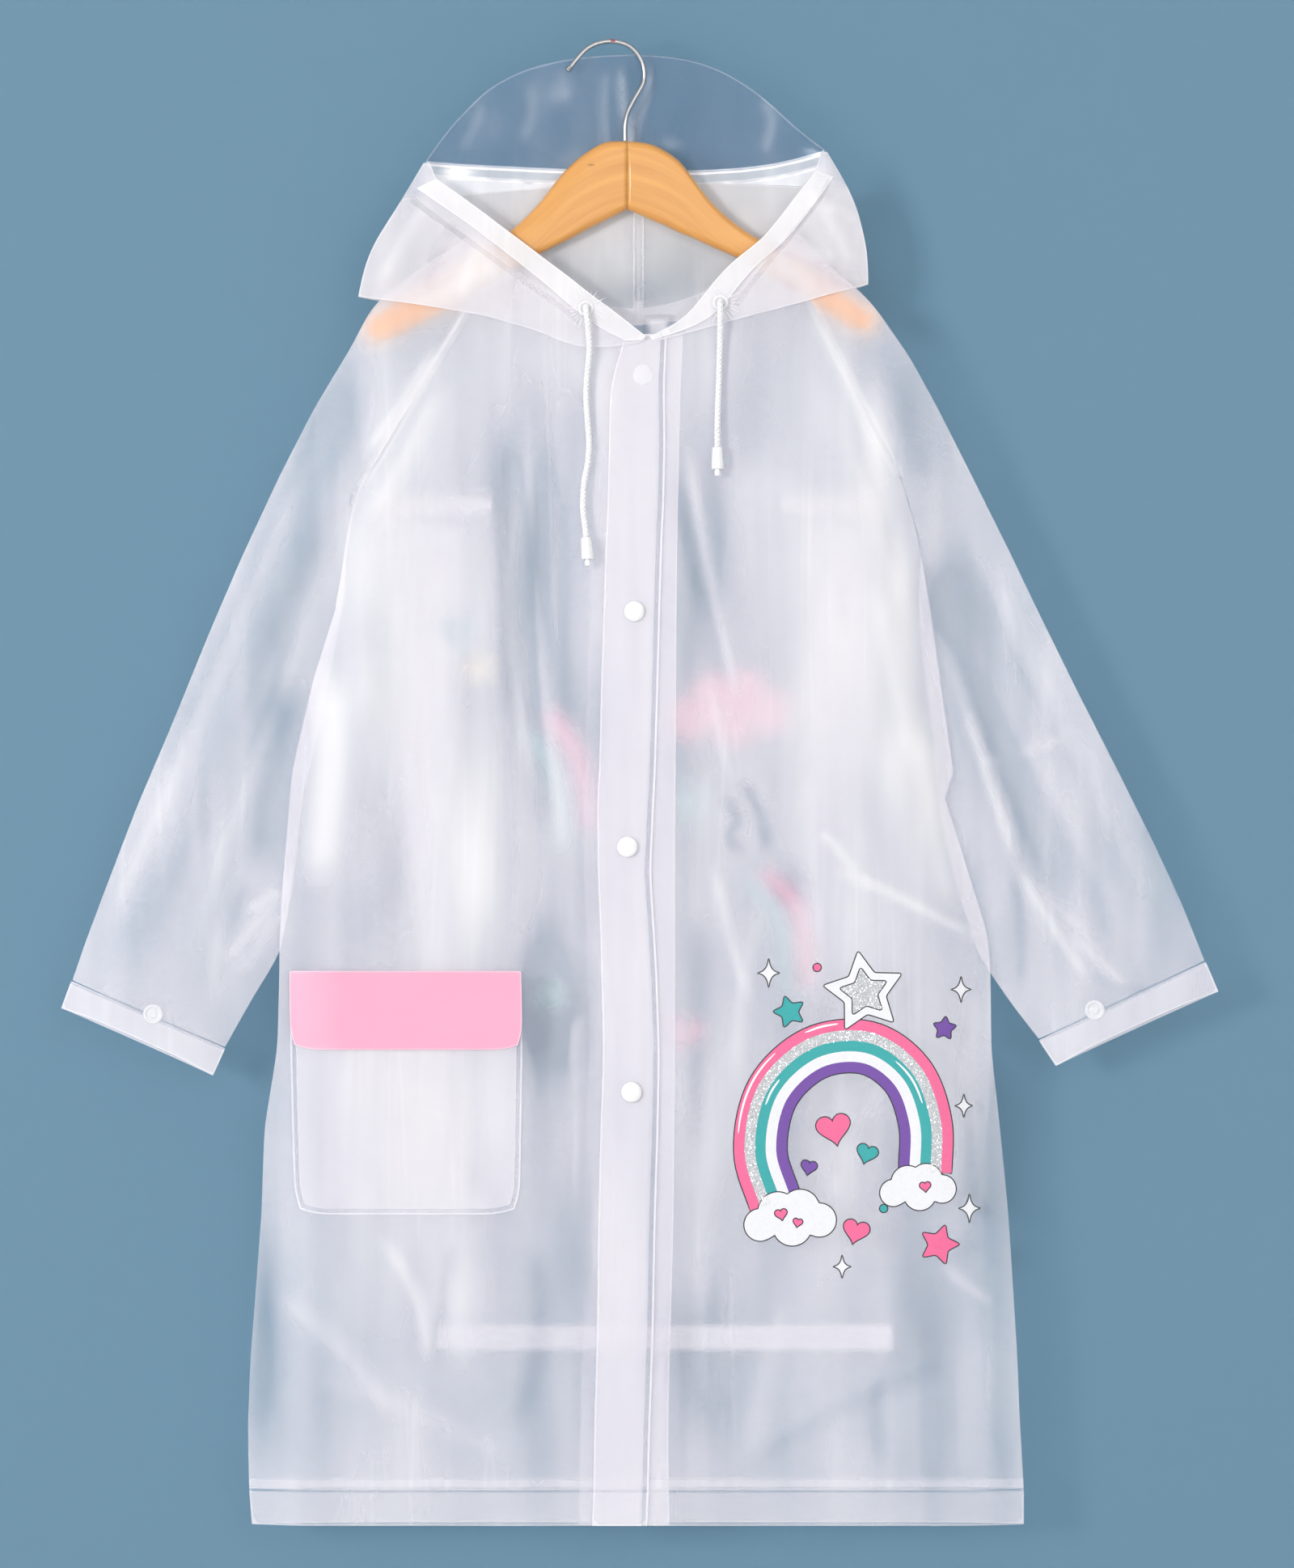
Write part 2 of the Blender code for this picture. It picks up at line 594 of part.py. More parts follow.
def sleeve_grid(rows, side):
    """side is -1 for the front wall and 1 for the back wall."""
    edges = (shoulder_path(rows), arm_path(rows))
    along = Vector((rows[0].inner_x - rows[0].outer_x, 0, rows[0].inner_z - rows[0].outer_z))
    away = along.cross(Vector((0, math.copysign(1, rows[0].outer_x), 0))).normalized()
    grid = []
    for row in rows:
        line = []
        for t in SLEEVE_COLUMNS:
            x = mix(row.outer_x, row.inner_x, t)
            z = mix(row.outer_z, row.inner_z, t)
            swell = mix(from_table(BODY_SWELL, z), SLEEVE_SWELL, row.own)
            share = min(distance_to(path, x, z) for path in edges)
            out = FLAT_HALF + swell * rise(share)
            line.append(Vector((x, side * out + SLEEVE_BACK * row.back, z)))
        grid.append(line)
    grid[0] = [p + away * RAGLAN_GAP for p in grid[0]]
    return grid


def hood_edge_path(rows):
    """Outer fold of a hood side, from the visor to the corner, with its reach."""
    return [(row.outer_x, row.outer_z, HOOD_REACH) for row in rows[:HOOD_CORNER + 1]]


def foot_lift(x):
    """How far the hood's sides stand out more, where they lie over the placket."""
    return HOOD_LIFT * smooth(min((x + 9) / 13, (57 - x) / 14))


def hood_front_grid(rows):
    fold = hood_edge_path(rows)
    grid = []
    for row in rows:
        edge = Vector((row.edge_x, 0, row.edge_z))
        outer = Vector((row.outer_x, 0, row.outer_z))
        casing = min(CASING_WIDTH / (outer - edge).length, 0.62)
        line = []
        for t in (0.0, casing, mix(casing, 1, 0.35), mix(casing, 1, 0.7), mix(casing, 1, 0.9), 1.0):
            p = edge.lerp(outer, t)
            out = HOOD_SWELL * rise(distance_to(fold, p.x, p.z)) + foot_lift(p.x)
            p.y = -FLAT_HALF - out
            line.append(p)
        grid.append(line)
    return grid


def hood_back_grid(side):
    rows = LEFT_HOOD if side == "left" else RIGHT_HOOD
    fold = hood_edge_path(rows)
    grid = []
    for row in HOOD_BACK:
        outer = Vector((getattr(row, side + "_x"), 0, getattr(row, side + "_z")))
        centre = Vector((HOOD_SEAM_X, 0, row.centre_z))
        line = []
        for t in HOOD_BACK_COLUMNS:
            p = outer.lerp(centre, t)
            p.y = FLAT_HALF + HOOD_SWELL * rise(distance_to(fold, p.x, p.z))
            line.append(p)
        grid.append(line)
    return grid


# ---------------------------------------------------------------- body
def build_fronts(grid):
    seam = GAP / 2
    left = part_of(grid, (0, HEM_ROW), (0, UNDER_COLUMN))
    add_sheet("front_left", trimmed(left, low=seam))
    right = part_of(grid, (0, HEM_ROW), (WELD_COLUMN, RIGHT_COLUMN))
    add_sheet("front_right", trimmed(right, low=seam))
    hem_grow = (BAND_WALL - WALL) / 2
    hem = part_of(grid, (HEM_ROW, LAST_ROW), (0, UNDER_COLUMN), out=-hem_grow)
    add_sheet("hem_front_left", trimmed(hem, top=seam), "band", BAND_WALL)
    hem = part_of(grid, (HEM_ROW, LAST_ROW), (WELD_COLUMN, RIGHT_COLUMN), out=-hem_grow)
    add_sheet("hem_front_right", trimmed(hem, top=seam), "band", BAND_WALL)
    placket = part_of(grid, (0, LAST_ROW), (PLACKET_COLUMN, WELD_COLUMN), out=-LAYER)
    for row in placket[HEM_ROW:]:
        for p in row:
            p.y -= BAND_WALL - WALL
    add_sheet("placket", placket, "band")
    build_snaps(placket)
    facing = part_of(grid, (0, LAST_ROW), (WELD_COLUMN, FACING_COLUMN), out=LAYER)
    add_sheet("facing_right", facing, "band")
    facing = part_of(grid, (0, LAST_ROW), (EDGE_COLUMN, UNDER_COLUMN), out=LAYER)
    add_sheet("facing_left", facing, "band")


def build_back(grid):
    seam = GAP / 2
    main = part_of(grid, (0, HEM_ROW), (0, BACK_LAST))
    add_sheet("back", trimmed(main, low=seam))
    hem = part_of(grid, (HEM_ROW, LAST_ROW), (0, BACK_LAST), out=(BAND_WALL - WALL) / 2)
    add_sheet("hem_back", trimmed(hem, top=seam), "band", BAND_WALL)
    for side, columns in PLEAT_COLUMNS.items():
        pleat = part_of(grid, (PLEAT_TOP_ROW, TAPE_ROW), columns, out=LAYER)
        add_sheet("back_pleat_" + side, trimmed(pleat, low=seam), "film")
        bar = part_of(grid, (PLEAT_TOP_ROW, PLEAT_BAR_ROW), columns, out=2 * LAYER)
        add_sheet("pleat_bar_" + side, bar, "band")
    tape = part_of(grid, (TAPE_ROW, TAPE_ROW + 1), (2, 10), out=LAYER)
    add_sheet("back_tape", trimmed(tape, top=seam), "band")
    end = part_of(grid, (TAPE_ROW, TAPE_ROW + 1), (9, 10), out=2 * LAYER)
    add_sheet("back_tape_end", end, "band")


def rounded_foot(grid, radius):
    """The grid with its two lower corners cut round."""
    def inward(a, b):
        return a + (b - a).normalized() * radius

    grid.insert(-1, [inward(low, high) for low, high in zip(grid[-1], grid[-2])])
    for row in grid:
        row.insert(1, inward(row[0], row[1]))
        row.insert(-1, inward(row[-1], row[-2]))
    for end, beside in ((0, 1), (-1, -2)):
        chord = grid[-2][end].lerp(grid[-1][beside], 0.5)
        grid[-1][end] = chord.lerp(grid[-1][end], CORNER_BULGE)
    return grid


def build_pocket(grid):
    """Bag and flap lie on the left front, made from its own sections."""
    top, foot = POCKET_ROWS
    bag = part_of(grid, (top, foot), POCKET_COLUMNS, out=-LAYER)
    bag[0] = [p.lerp(q, POCKET_TOP) for p, q in zip(bag[0], bag[1])]
    add_sheet("pocket_bag", rounded_foot(bag, POCKET_CORNER), "film")
    flap = part_of(grid, (top, top + 1), POCKET_COLUMNS, out=-2 * LAYER)
    add_sheet("pocket_flap", rounded_foot(flap, FLAP_CORNER), "pink")


# ---------------------------------------------------------------- sleeves
def build_sleeve(name, rows):
    for wall, side in (("front", -1), ("back", 1)):
        grid = sleeve_grid(rows, side)
        add_sheet(f"sleeve_{name}_{wall}", trimmed(grid, low=0.5))


def cuff_loop(outer, inner, lift):
    """One level of the cuff: front wall out to in, then back wall in to out."""
    outer, inner = Vector((outer[0], 0, outer[1])), Vector((inner[0], 0, inner[1]))
    width = (inner - outer).length
    loop = []
    for side, run in ((-1, CUFF_SPOTS), (1, CUFF_SPOTS[::-1])):
        for t in run:
            p = outer.lerp(inner, t)
            bulge = rise(min(t, 1 - t) * width / SIDE_REACH)
            p.y = SLEEVE_BACK + side * (FLAT_HALF + 0.2 + SLEEVE_SWELL * bulge)
            if side < 0:
                p.z += lift * bulge
            loop.append(p)
    return loop


def build_cuff(name, cuff):
    rows = []
    for t in (0.0, 1.0):
        outer = Vector(cuff.outer_top).lerp(Vector(cuff.outer_low), t)
        inner = Vector(cuff.inner_top).lerp(Vector(cuff.inner_low), t)
        rows.append(cuff_loop(outer, inner, cuff.lift * t))
    add_sheet("cuff_" + name, rows, "band", BAND_WALL, closed=True)
    front = [row[:len(CUFF_SPOTS)] for row in rows]
    x, z = cuff.snap
    place, axis = seat(front, x, z - CUFF_SNAP_DROP, CUFF_SNAP_RADIUS, BAND_WALL)
    place += Vector((0, -CUFF_SNAP_LIFT, CUFF_SNAP_DROP))
    profile = ((CUFF_SNAP_RADIUS, 0.0), (CUFF_SNAP_RADIUS, 0.8), (4.6, 1.6), (2.6, 1.2), (1.0, 1.2))
    add_turned("cuff_snap_" + name, profile, place, axis, "white")


# ---------------------------------------------------------------- hood
def build_hood():
    seam = GAP / 2
    for side, rows in (("left", LEFT_HOOD), ("right", RIGHT_HOOD)):
        grid = hood_front_grid(rows)
        add_sheet(f"hood_{side}_front", grid)
        casing = part_of(grid, (1, len(rows) - 1), (0, 1), out=-LAYER)
        add_sheet("casing_" + side, casing, "film")
        build_eyelet(side, casing, *EYELETS[side])
        back = hood_back_grid(side)
        add_sheet(f"hood_{side}_back", trimmed(back, last=seam))
    y = FLAT_HALF + HOOD_SWELL - LAYER
    top, low = HOOD_BACK[0].centre_z - TAPE_START, HOOD_BACK[-1].centre_z + TAPE_STOP
    tape = [[Vector((HOOD_SEAM_X + dx, y, z)) for dx in (-TAPE_WIDTH / 2, TAPE_WIDTH / 2)]
            for z in (top, mix(top, low, 0.5), low)]
    add_sheet("hood_centre_tape", tape, "band")
    build_visor()
    (x0, z0), (x1, z1) = LABEL_BOX
    y = body_depth((x0 + x1) / 2, z1) - LAYER
    label = [[Vector((x, y, z)) for x in (x0, x1)] for z in (z0, z1)]
    add_sheet("neck_label", label, "white")


def visor_point(x, z):
    folds = (hood_edge_path(LEFT_HOOD), hood_edge_path(RIGHT_HOOD))
    share = min(distance_to(path, x, z) for path in folds)
    return Vector((x, FLAT_HALF + HOOD_SWELL * rise(share), z))


def build_visor():
    """Arched clear sheet, and the clear band that joins it to the hood."""
    levels = (0.0, 0.3, 0.65, 1.0)
    visor = []
    for row in VISOR:
        visor.append([visor_point(mix(row.rim_x, row.seam_x, t), mix(row.rim_z, row.seam_z, t))
                      for t in levels])
    add_sheet("visor", trimmed(visor, last=GAP / 2), "clear")
    band = []
    for row in VISOR:
        band.append([visor_point(row.seam_x, row.seam_z), visor_point(row.band_x, row.band_z)])
    add_sheet("visor_band", trimmed(band, first=GAP / 2, last=GAP), "clear")


# ---------------------------------------------------------------- hardware
def seat(grid, x, z, reach, wall=WALL):
    """Where a flat disc of this reach rests on the front of a wall: place and axis."""
    points = [p for row in grid for p in row]
    width = len(grid[0])
    faces = []
    for i in range(len(grid) - 1):
        for j in range(width - 1):
            a = i * width + j
            faces.append((a, a + 1, a + 1 + width, a + width))
    tree = BVHTree.FromPolygons(points, faces)
    ahead = Vector((0, 1, 0))
    place, normal = tree.ray_cast(Vector((x, -60, z)), ahead)[:2]
    if normal.y > 0:
        normal = -normal
    proud = 0.0
    for k in range(16):
        spoke = Vector((math.cos(math.tau * k / 16), 0, math.sin(math.tau * k / 16))) * reach
        hit = tree.ray_cast(Vector((x, -60, z)) + spoke, ahead)[0]
        if hit:
            proud = max(proud, (hit - place).dot(normal))
    return place + normal * (proud + wall / 2 + GAP), normal


def build_snaps(placket):
    spots = ((22, -240), (16, -411), (11, -581), (14, -758))
    profile = ((SNAP_RADIUS - 0.7, 0.0), (SNAP_RADIUS, 0.7), (SNAP_RADIUS, 1.5),
               (6.3, 2.5), (4.0, 3.1), (1.4, 3.3))
    for index, (x, z) in enumerate(spots, start=1):
        place, axis = seat(placket, x, z, SNAP_RADIUS)
        add_turned(f"snap_{index}", profile, place, axis, "white")


def build_eyelet(name, casing, x, z):
    """Flat ring welded on the hood's casing, round the cord's hole."""
    place, axis = seat(casing, x, z, EYELET_RADIUS)
    turn = axis.to_track_quat("Z", "Y")
    sides = 24
    bm = bmesh.new()
    loops = []
    for radius, out in ((EYELET_RADIUS, 0.0), (EYELET_RADIUS, EYELET_RISE),
                        (EYELET_HOLE, EYELET_RISE), (EYELET_HOLE, 0.0)):
        loop = []
        for k in range(sides):
            angle = math.tau * k / sides
            spoke = Vector((radius * math.cos(angle), radius * math.sin(angle), out))
            loop.append(bm.verts.new((place + turn @ spoke) * MM))
        loops.append(loop)
    for a, b in zip(loops, loops[1:] + loops[:1]):
        for i in range(sides):
            j = (i + 1) % sides
            bm.faces.new((a[i], a[j], b[j], b[i]))
    bmesh.ops.recalc_face_normals(bm, faces=bm.faces)
    mesh = bpy.data.meshes.new("eyelet_" + name)
    bm.to_mesh(mesh)
    bm.free()
    add_object("eyelet_" + name, mesh, "white")


def build_cord(name, points):
    path = even_path(points, CORD_STEP)
    add_tube("cord_" + name, path, CORD_RADIUS, "cord")
    along = (path[-1] - path[-2]).normalized()
    top = path[-1] + along * GAP
    heights = (0.0, 0.12, 0.75, 1.0)
    profile = [(r, h * END_LENGTH) for r, h in zip(END_RADII, heights)]
    add_turned("cord_end_" + name, profile, top, along, "white", sides=16)
    foot = top + along * (END_LENGTH + GAP)
    tip = ((1.9, 0.0), (2.3, 1.2), (2.2, TIP_LENGTH))
    add_turned("cord_tip_" + name, tip, foot, along, "cord", sides=10)


def arm_section(row):
    """Rounded oblong across an arm, twelve points."""
    soft = min(row.half * 0.94, (row.top - row.low) / 3)
    centre_z = (row.top + row.low) / 2
    tall = (row.top - row.low) / 2
    points = []
    for quarter in range(4):
        sign_y = (1, -1, -1, 1)[quarter]
        sign_z = (1, 1, -1, -1)[quarter]
        for step in range(3):
            angle = math.pi / 2 * (quarter + step / 2)
            y = sign_y * (row.half - soft) + soft * math.cos(angle)
            z = sign_z * (tall - soft) + soft * math.sin(angle)
            points.append((row.x, y, centre_z + z))
    return points


def build_hanger():
    add_rings("hanger_left", [arm_section(row) for row in LEFT_ARM], "wood")
    add_rings("hanger_right", [arm_section(row) for row in RIGHT_ARM], "wood")
    path = smooth_path([(x, 0, z) for x, z in HOOK_PATH], HOOK_STEPS)
    add_tube("hook", path, WIRE_RADIUS, "steel", detail=3)
    along = (path[0] - path[1]).normalized()
    bead = ((1.5, 0.0), (2.3, 0.7), (2.3, 1.5), (1.7, 2.1), (2.3, 2.7), (2.0, 3.6), (0.9, 4.2))
    add_turned("hook_tip", bead, path[0] + along * GAP, along, "steel", sides=16)


def main():
    clear_scene()
    front = front_grid()
    build_fronts(front)
    build_pocket(front)
    build_back(back_grid())
    for name, rows in (("left", LEFT_SLEEVE), ("right", RIGHT_SLEEVE)):
        build_sleeve(name, rows)
    for name, cuff in CUFFS.items():
        build_cuff(name, cuff)
    build_hood()
    build_cord("left", LEFT_CORD)
    build_cord("right", RIGHT_CORD)
    build_hanger()


main()
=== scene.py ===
# %% [markdown]
# # A see-through hooded raincoat on its wooden hanger
# The coat is welded from frosted film, a soft plastic sheet that lets some light through.
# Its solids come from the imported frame, as flat walls with a true outline. Each wall is
# turned here into a thin, finely meshed sheet with folds, and then it gets its finish.
# X runs to the viewer's right, Z up, and the front faces -Y. "left" and "right" are the
# viewer's. Tables are in millimetres, because that is how a coat is measured.

# %% The frame
import math
import random
from collections import namedtuple

import bmesh
import bpy
import numpy as np
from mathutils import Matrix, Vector
from mathutils.bvhtree import BVHTree
from mathutils.geometry import delaunay_2d_cdt, interpolate_bezier


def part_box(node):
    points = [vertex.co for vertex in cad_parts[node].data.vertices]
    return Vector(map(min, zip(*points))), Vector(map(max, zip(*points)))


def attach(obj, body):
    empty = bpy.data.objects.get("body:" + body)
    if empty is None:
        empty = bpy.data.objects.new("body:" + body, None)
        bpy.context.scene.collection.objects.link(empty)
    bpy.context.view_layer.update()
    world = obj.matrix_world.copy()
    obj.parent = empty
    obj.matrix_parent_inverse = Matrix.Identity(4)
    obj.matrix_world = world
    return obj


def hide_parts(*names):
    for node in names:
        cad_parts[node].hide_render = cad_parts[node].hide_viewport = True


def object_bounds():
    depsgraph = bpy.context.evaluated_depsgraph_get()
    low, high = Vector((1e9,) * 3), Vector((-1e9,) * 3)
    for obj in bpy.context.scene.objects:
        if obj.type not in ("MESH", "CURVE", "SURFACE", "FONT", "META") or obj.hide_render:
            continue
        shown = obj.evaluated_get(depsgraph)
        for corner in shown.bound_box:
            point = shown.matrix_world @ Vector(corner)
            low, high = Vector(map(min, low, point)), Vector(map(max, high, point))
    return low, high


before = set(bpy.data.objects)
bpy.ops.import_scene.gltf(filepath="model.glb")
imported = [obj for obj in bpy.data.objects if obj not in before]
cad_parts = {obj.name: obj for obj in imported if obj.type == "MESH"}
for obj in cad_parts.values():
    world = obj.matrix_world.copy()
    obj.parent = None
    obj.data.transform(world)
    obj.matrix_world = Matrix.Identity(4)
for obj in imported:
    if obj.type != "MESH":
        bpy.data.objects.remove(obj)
cad_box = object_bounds()
MM = 0.001
FRONT, BACK = -1, 1
print("nodes in the frame:", len(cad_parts))

# %% [markdown]
# ## Node helpers
# Shader trees are easier to read when one line adds a node, sets its sockets and links its
# inputs. A value that is a socket becomes a link, and anything else a plain setting. An
# underscore and a number name a socket by its place.

# %% Node helpers
FLOAT, VECTOR, INTEGER = "NodeSocketFloat", "NodeSocketVector", "NodeSocketInt"


def plug(tree, made, sockets):
    for name, value in sockets.items():
        socket = made.inputs[int(name[1:]) if name[0] == "_" else name.replace("_", " ")]
        if isinstance(value, bpy.types.NodeSocket):
            tree.links.new(value, socket)
        else:
            socket.default_value = value
    return made.outputs


def node(tree, kind, outlet=0, settings=None, **sockets):
    made = tree.nodes.new(kind)
    for name, value in (settings or {}).items():
        setattr(made, name, value)
    return plug(tree, made, sockets)[outlet]


def maths(tree, operation, a, b=0.0, clamp=False):
    return node(tree, "ShaderNodeMath", 0, {"operation": operation, "use_clamp": clamp}, _0=a, _1=b)


def plus(tree, a, b, clamp=False):
    return maths(tree, "ADD", a, b, clamp)


def minus(tree, a, b):
    return maths(tree, "SUBTRACT", a, b)


def times(tree, a, b):
    return maths(tree, "MULTIPLY", a, b)


def vector_maths(tree, operation, a, b):
    outlet = "Value" if operation == "DISTANCE" else "Vector"
    return node(tree, "ShaderNodeVectorMath", outlet, {"operation": operation}, _0=a, _1=b)


def mixed(tree, share, first, second):
    return node(tree, "ShaderNodeMix", "Result", {"data_type": "RGBA"}, _0=share, _6=first, _7=second)


def ramp(tree, value, low, high, at_low, at_high, soft=True):
    """A value between low and high, mapped to a value between two others, and held beyond."""
    kind = "SMOOTHSTEP" if soft else "LINEAR"
    return node(tree, "ShaderNodeMapRange", 0, {"interpolation_type": kind}, Value=value, From_Min=low,
                From_Max=high, To_Min=at_low, To_Max=at_high)


def attribute(tree, name, outlet="Fac"):
    return node(tree, "ShaderNodeAttribute", outlet, {"attribute_name": name})


def object_place(tree):
    return node(tree, "ShaderNodeTexCoord", "Object")


def noise_at(tree, place, scale, detail, **more):
    return node(tree, "ShaderNodeTexNoise", "Fac", None, Vector=place, Scale=scale, Detail=detail, **more)


def bumps_of(tree, height, strength, distance):
    return node(tree, "ShaderNodeBump", 0, None, Strength=strength, Distance=distance, Height=height)


def in_shadow(tree, share):
    """1 to the eye, and the given share to a ray that looks for a lamp, to lighten a shadow."""
    return minus(tree, 1.0, times(tree, node(tree, "ShaderNodeLightPath", "Is Shadow Ray"), 1 - share))


def new_material(name, look, **settings):
    """A Principled material. look adds its nodes, and returns what the shader's sockets take."""
    made = bpy.data.materials.new(name)
    made.use_nodes = True
    tree = made.node_tree
    plug(tree, tree.nodes["Principled BSDF"], {**settings, **look(tree)})
    return made


def new_group(name, inputs, outputs):
    tree = bpy.data.node_groups.new(name, "ShaderNodeTree")
    for label, kind, value in inputs:
        tree.interface.new_socket(label, in_out="INPUT", socket_type=kind).default_value = value
    for label, kind in outputs:
        tree.interface.new_socket(label, in_out="OUTPUT", socket_type=kind)
    return tree, tree.nodes.new("NodeGroupInput").outputs, tree.nodes.new("NodeGroupOutput").inputs


def use_group(tree, group, **sockets):
    made = tree.nodes.new("ShaderNodeGroup")
    made.node_tree = group
    return plug(tree, made, sockets)


def placed(name, data):
    """A new object at the origin, in the scene."""
    obj = bpy.data.objects.new(name, data)
    bpy.context.collection.objects.link(obj)
    return obj

# %% [markdown]
# ## Camera, light and ground
# A film coat shows what is behind it, so the ground matters as much as the lamps. A plain
# blue-grey board stands close behind the coat. It is clear from its back, so that the coat
# can be seen from behind too. The same blue is what the camera sees all round, while the
# light from there stays white.

# %% Studio
GROUND_BLUE = (0.168, 0.305, 0.413, 1.0)
BOARD_BLUE = (0.147, 0.262, 0.355, 1.0)
VIEW_CENTRE = Vector((25.2, 0.0, -535.6)) * MM
VIEW_HEIGHT = 1134.3 * MM
LENS, SENSOR = 180.0, 36.0
SKY_LOW, SKY_HIGH = 0.28, 0.86
WHITE = (1.0, 1.0, 1.0, 1.0)


def add_camera():
    data = bpy.data.cameras.new("camera")
    data.sensor_fit = "VERTICAL"
    data.sensor_height = SENSOR
    data.lens = LENS
    camera = placed("camera", data)
    camera.location = VIEW_CENTRE + Vector((0, -VIEW_HEIGHT * LENS / SENSOR, 0))
    camera.rotation_euler = (math.pi / 2, 0, 0)
    bpy.context.scene.camera = camera


def add_lamp(name, place, side, power):
    """A square lamp that is aimed at the coat's middle."""
    data = bpy.data.lights.new(name, "AREA")
    data.size = side
    data.energy = power
    lamp = placed(name, data)
    lamp.location = place
    lamp.visible_camera = False
    aim = VIEW_CENTRE - Vector(place)
    lamp.rotation_euler = aim.to_track_quat("-Z", "Y").to_euler()


def add_world():
    """White light, brighter from above, behind a ground that only the camera sees."""
    world = bpy.data.worlds.new("studio")
    bpy.context.scene.world = world
    world.use_nodes = True
    tree = world.node_tree
    tree.nodes.clear()
    height = node(tree, "ShaderNodeSeparateXYZ", "Z", None, Vector=node(tree, "ShaderNodeTexCoord"))
    light = node(tree, "ShaderNodeBackground", 0, None, Color=WHITE,
                 Strength=ramp(tree, height, -1.0, 1.0, SKY_LOW, SKY_HIGH, False))
    seen = node(tree, "ShaderNodeBackground", 0, None, Color=GROUND_BLUE)
    both = node(tree, "ShaderNodeMixShader", 0, None, _1=light, _2=seen,
                Fac=node(tree, "ShaderNodeLightPath", "Is Camera Ray"))
    plug(tree, tree.nodes.new("ShaderNodeOutputWorld"), {"Surface": both})


def stage_sheet(name, corners, colour, glow=0.0, one_sided=False):
    """A matt four-cornered sheet. glow is the share of its colour that no lamp changes."""
    made = new_material(name, lambda tree: {}, Base_Color=[c * (1 - glow) for c in colour[:3]] + [1.0],
                        Emission_Color=colour, Emission_Strength=glow, Roughness=0.9,
                        Specular_IOR_Level=0.0)
    if one_sided:
        tree = made.node_tree
        both = node(tree, "ShaderNodeMixShader", 0, None,
                    Fac=node(tree, "ShaderNodeNewGeometry", "Backfacing"),
                    _1=tree.nodes["Principled BSDF"].outputs[0], _2=node(tree, "ShaderNodeBsdfTransparent"))
        plug(tree, tree.nodes["Material Output"], {"Surface": both})
    mesh = bpy.data.meshes.new(name)
    mesh.from_pydata(corners, [], [(0, 1, 2, 3)])
    mesh.materials.append(made)
    obj = placed(name, mesh)
    return obj


add_camera()
add_world()
bpy.context.scene.view_settings.view_transform = "Standard"
cycles = bpy.context.scene.cycles
cycles.transparent_max_bounces = 22
cycles.use_adaptive_sampling = True
cycles.adaptive_threshold = 0.05
cycles.adaptive_min_samples = 12
add_lamp("key", (-4.4, -5.8, 0.2), 1.5, 224)
add_lamp("front", (1.0, -5.0, 0.2), 3.2, 56)
add_lamp("back fill", (1.4, 4.3, 0.9), 2.6, 60)
BOARD_GAP, FLOOR_DROP = 0.040, 0.35
BOARD_Y = cad_box[1][1] + BOARD_GAP
board = stage_sheet("board", [(-1.4, BOARD_Y, -1.9), (1.5, BOARD_Y, -1.9), (1.5, BOARD_Y, 0.9),
                              (-1.4, BOARD_Y, 0.9)], BOARD_BLUE, 0.15, True)
board.visible_shadow = False
FLOOR_Z = cad_box[0][2] - FLOOR_DROP
stage_sheet("floor", [(-4, -5, FLOOR_Z), (4, -5, FLOOR_Z), (4, 5, FLOOR_Z), (-4, 5, FLOOR_Z)],
            (0.78, 0.77, 0.75, 1))

# %% [markdown]
# ## Frosted film
# The film is milky because its surface is matt. How milky it looks changes from place to
# place: it is whiter where two layers touch, and clearer along a weld, where the matt surface
# has been melted smooth. Light and shade are painted in as well: a fold's ridge and fine
# crumples are painted paler, a trough darker. So one node group works out how solid and how
# pale the film is at a point, from soft clouds, from the folds' haze, part real and part
# painted light and shade, and from the distance to the nearest weld. Each material uses the
# group with its own numbers.

# %% Film groups
SHADE_SHARE = 0.74
# Painted glow: near the hanger's arms the film is painted towards this orange, in place of the wood seen
# through it.
PAINTED_WOOD_GLOW = (0.97, 0.50, 0.24, 1)


def stretched_noise(tree, place, tall, scale, detail):
    """Noise with patches that are 1/tall times as high as they are wide."""
    long = node(tree, "ShaderNodeMapping", 0, None, Vector=place, Scale=(1.0, 1.0, tall))
    return noise_at(tree, long, scale, detail, Roughness=0.5)


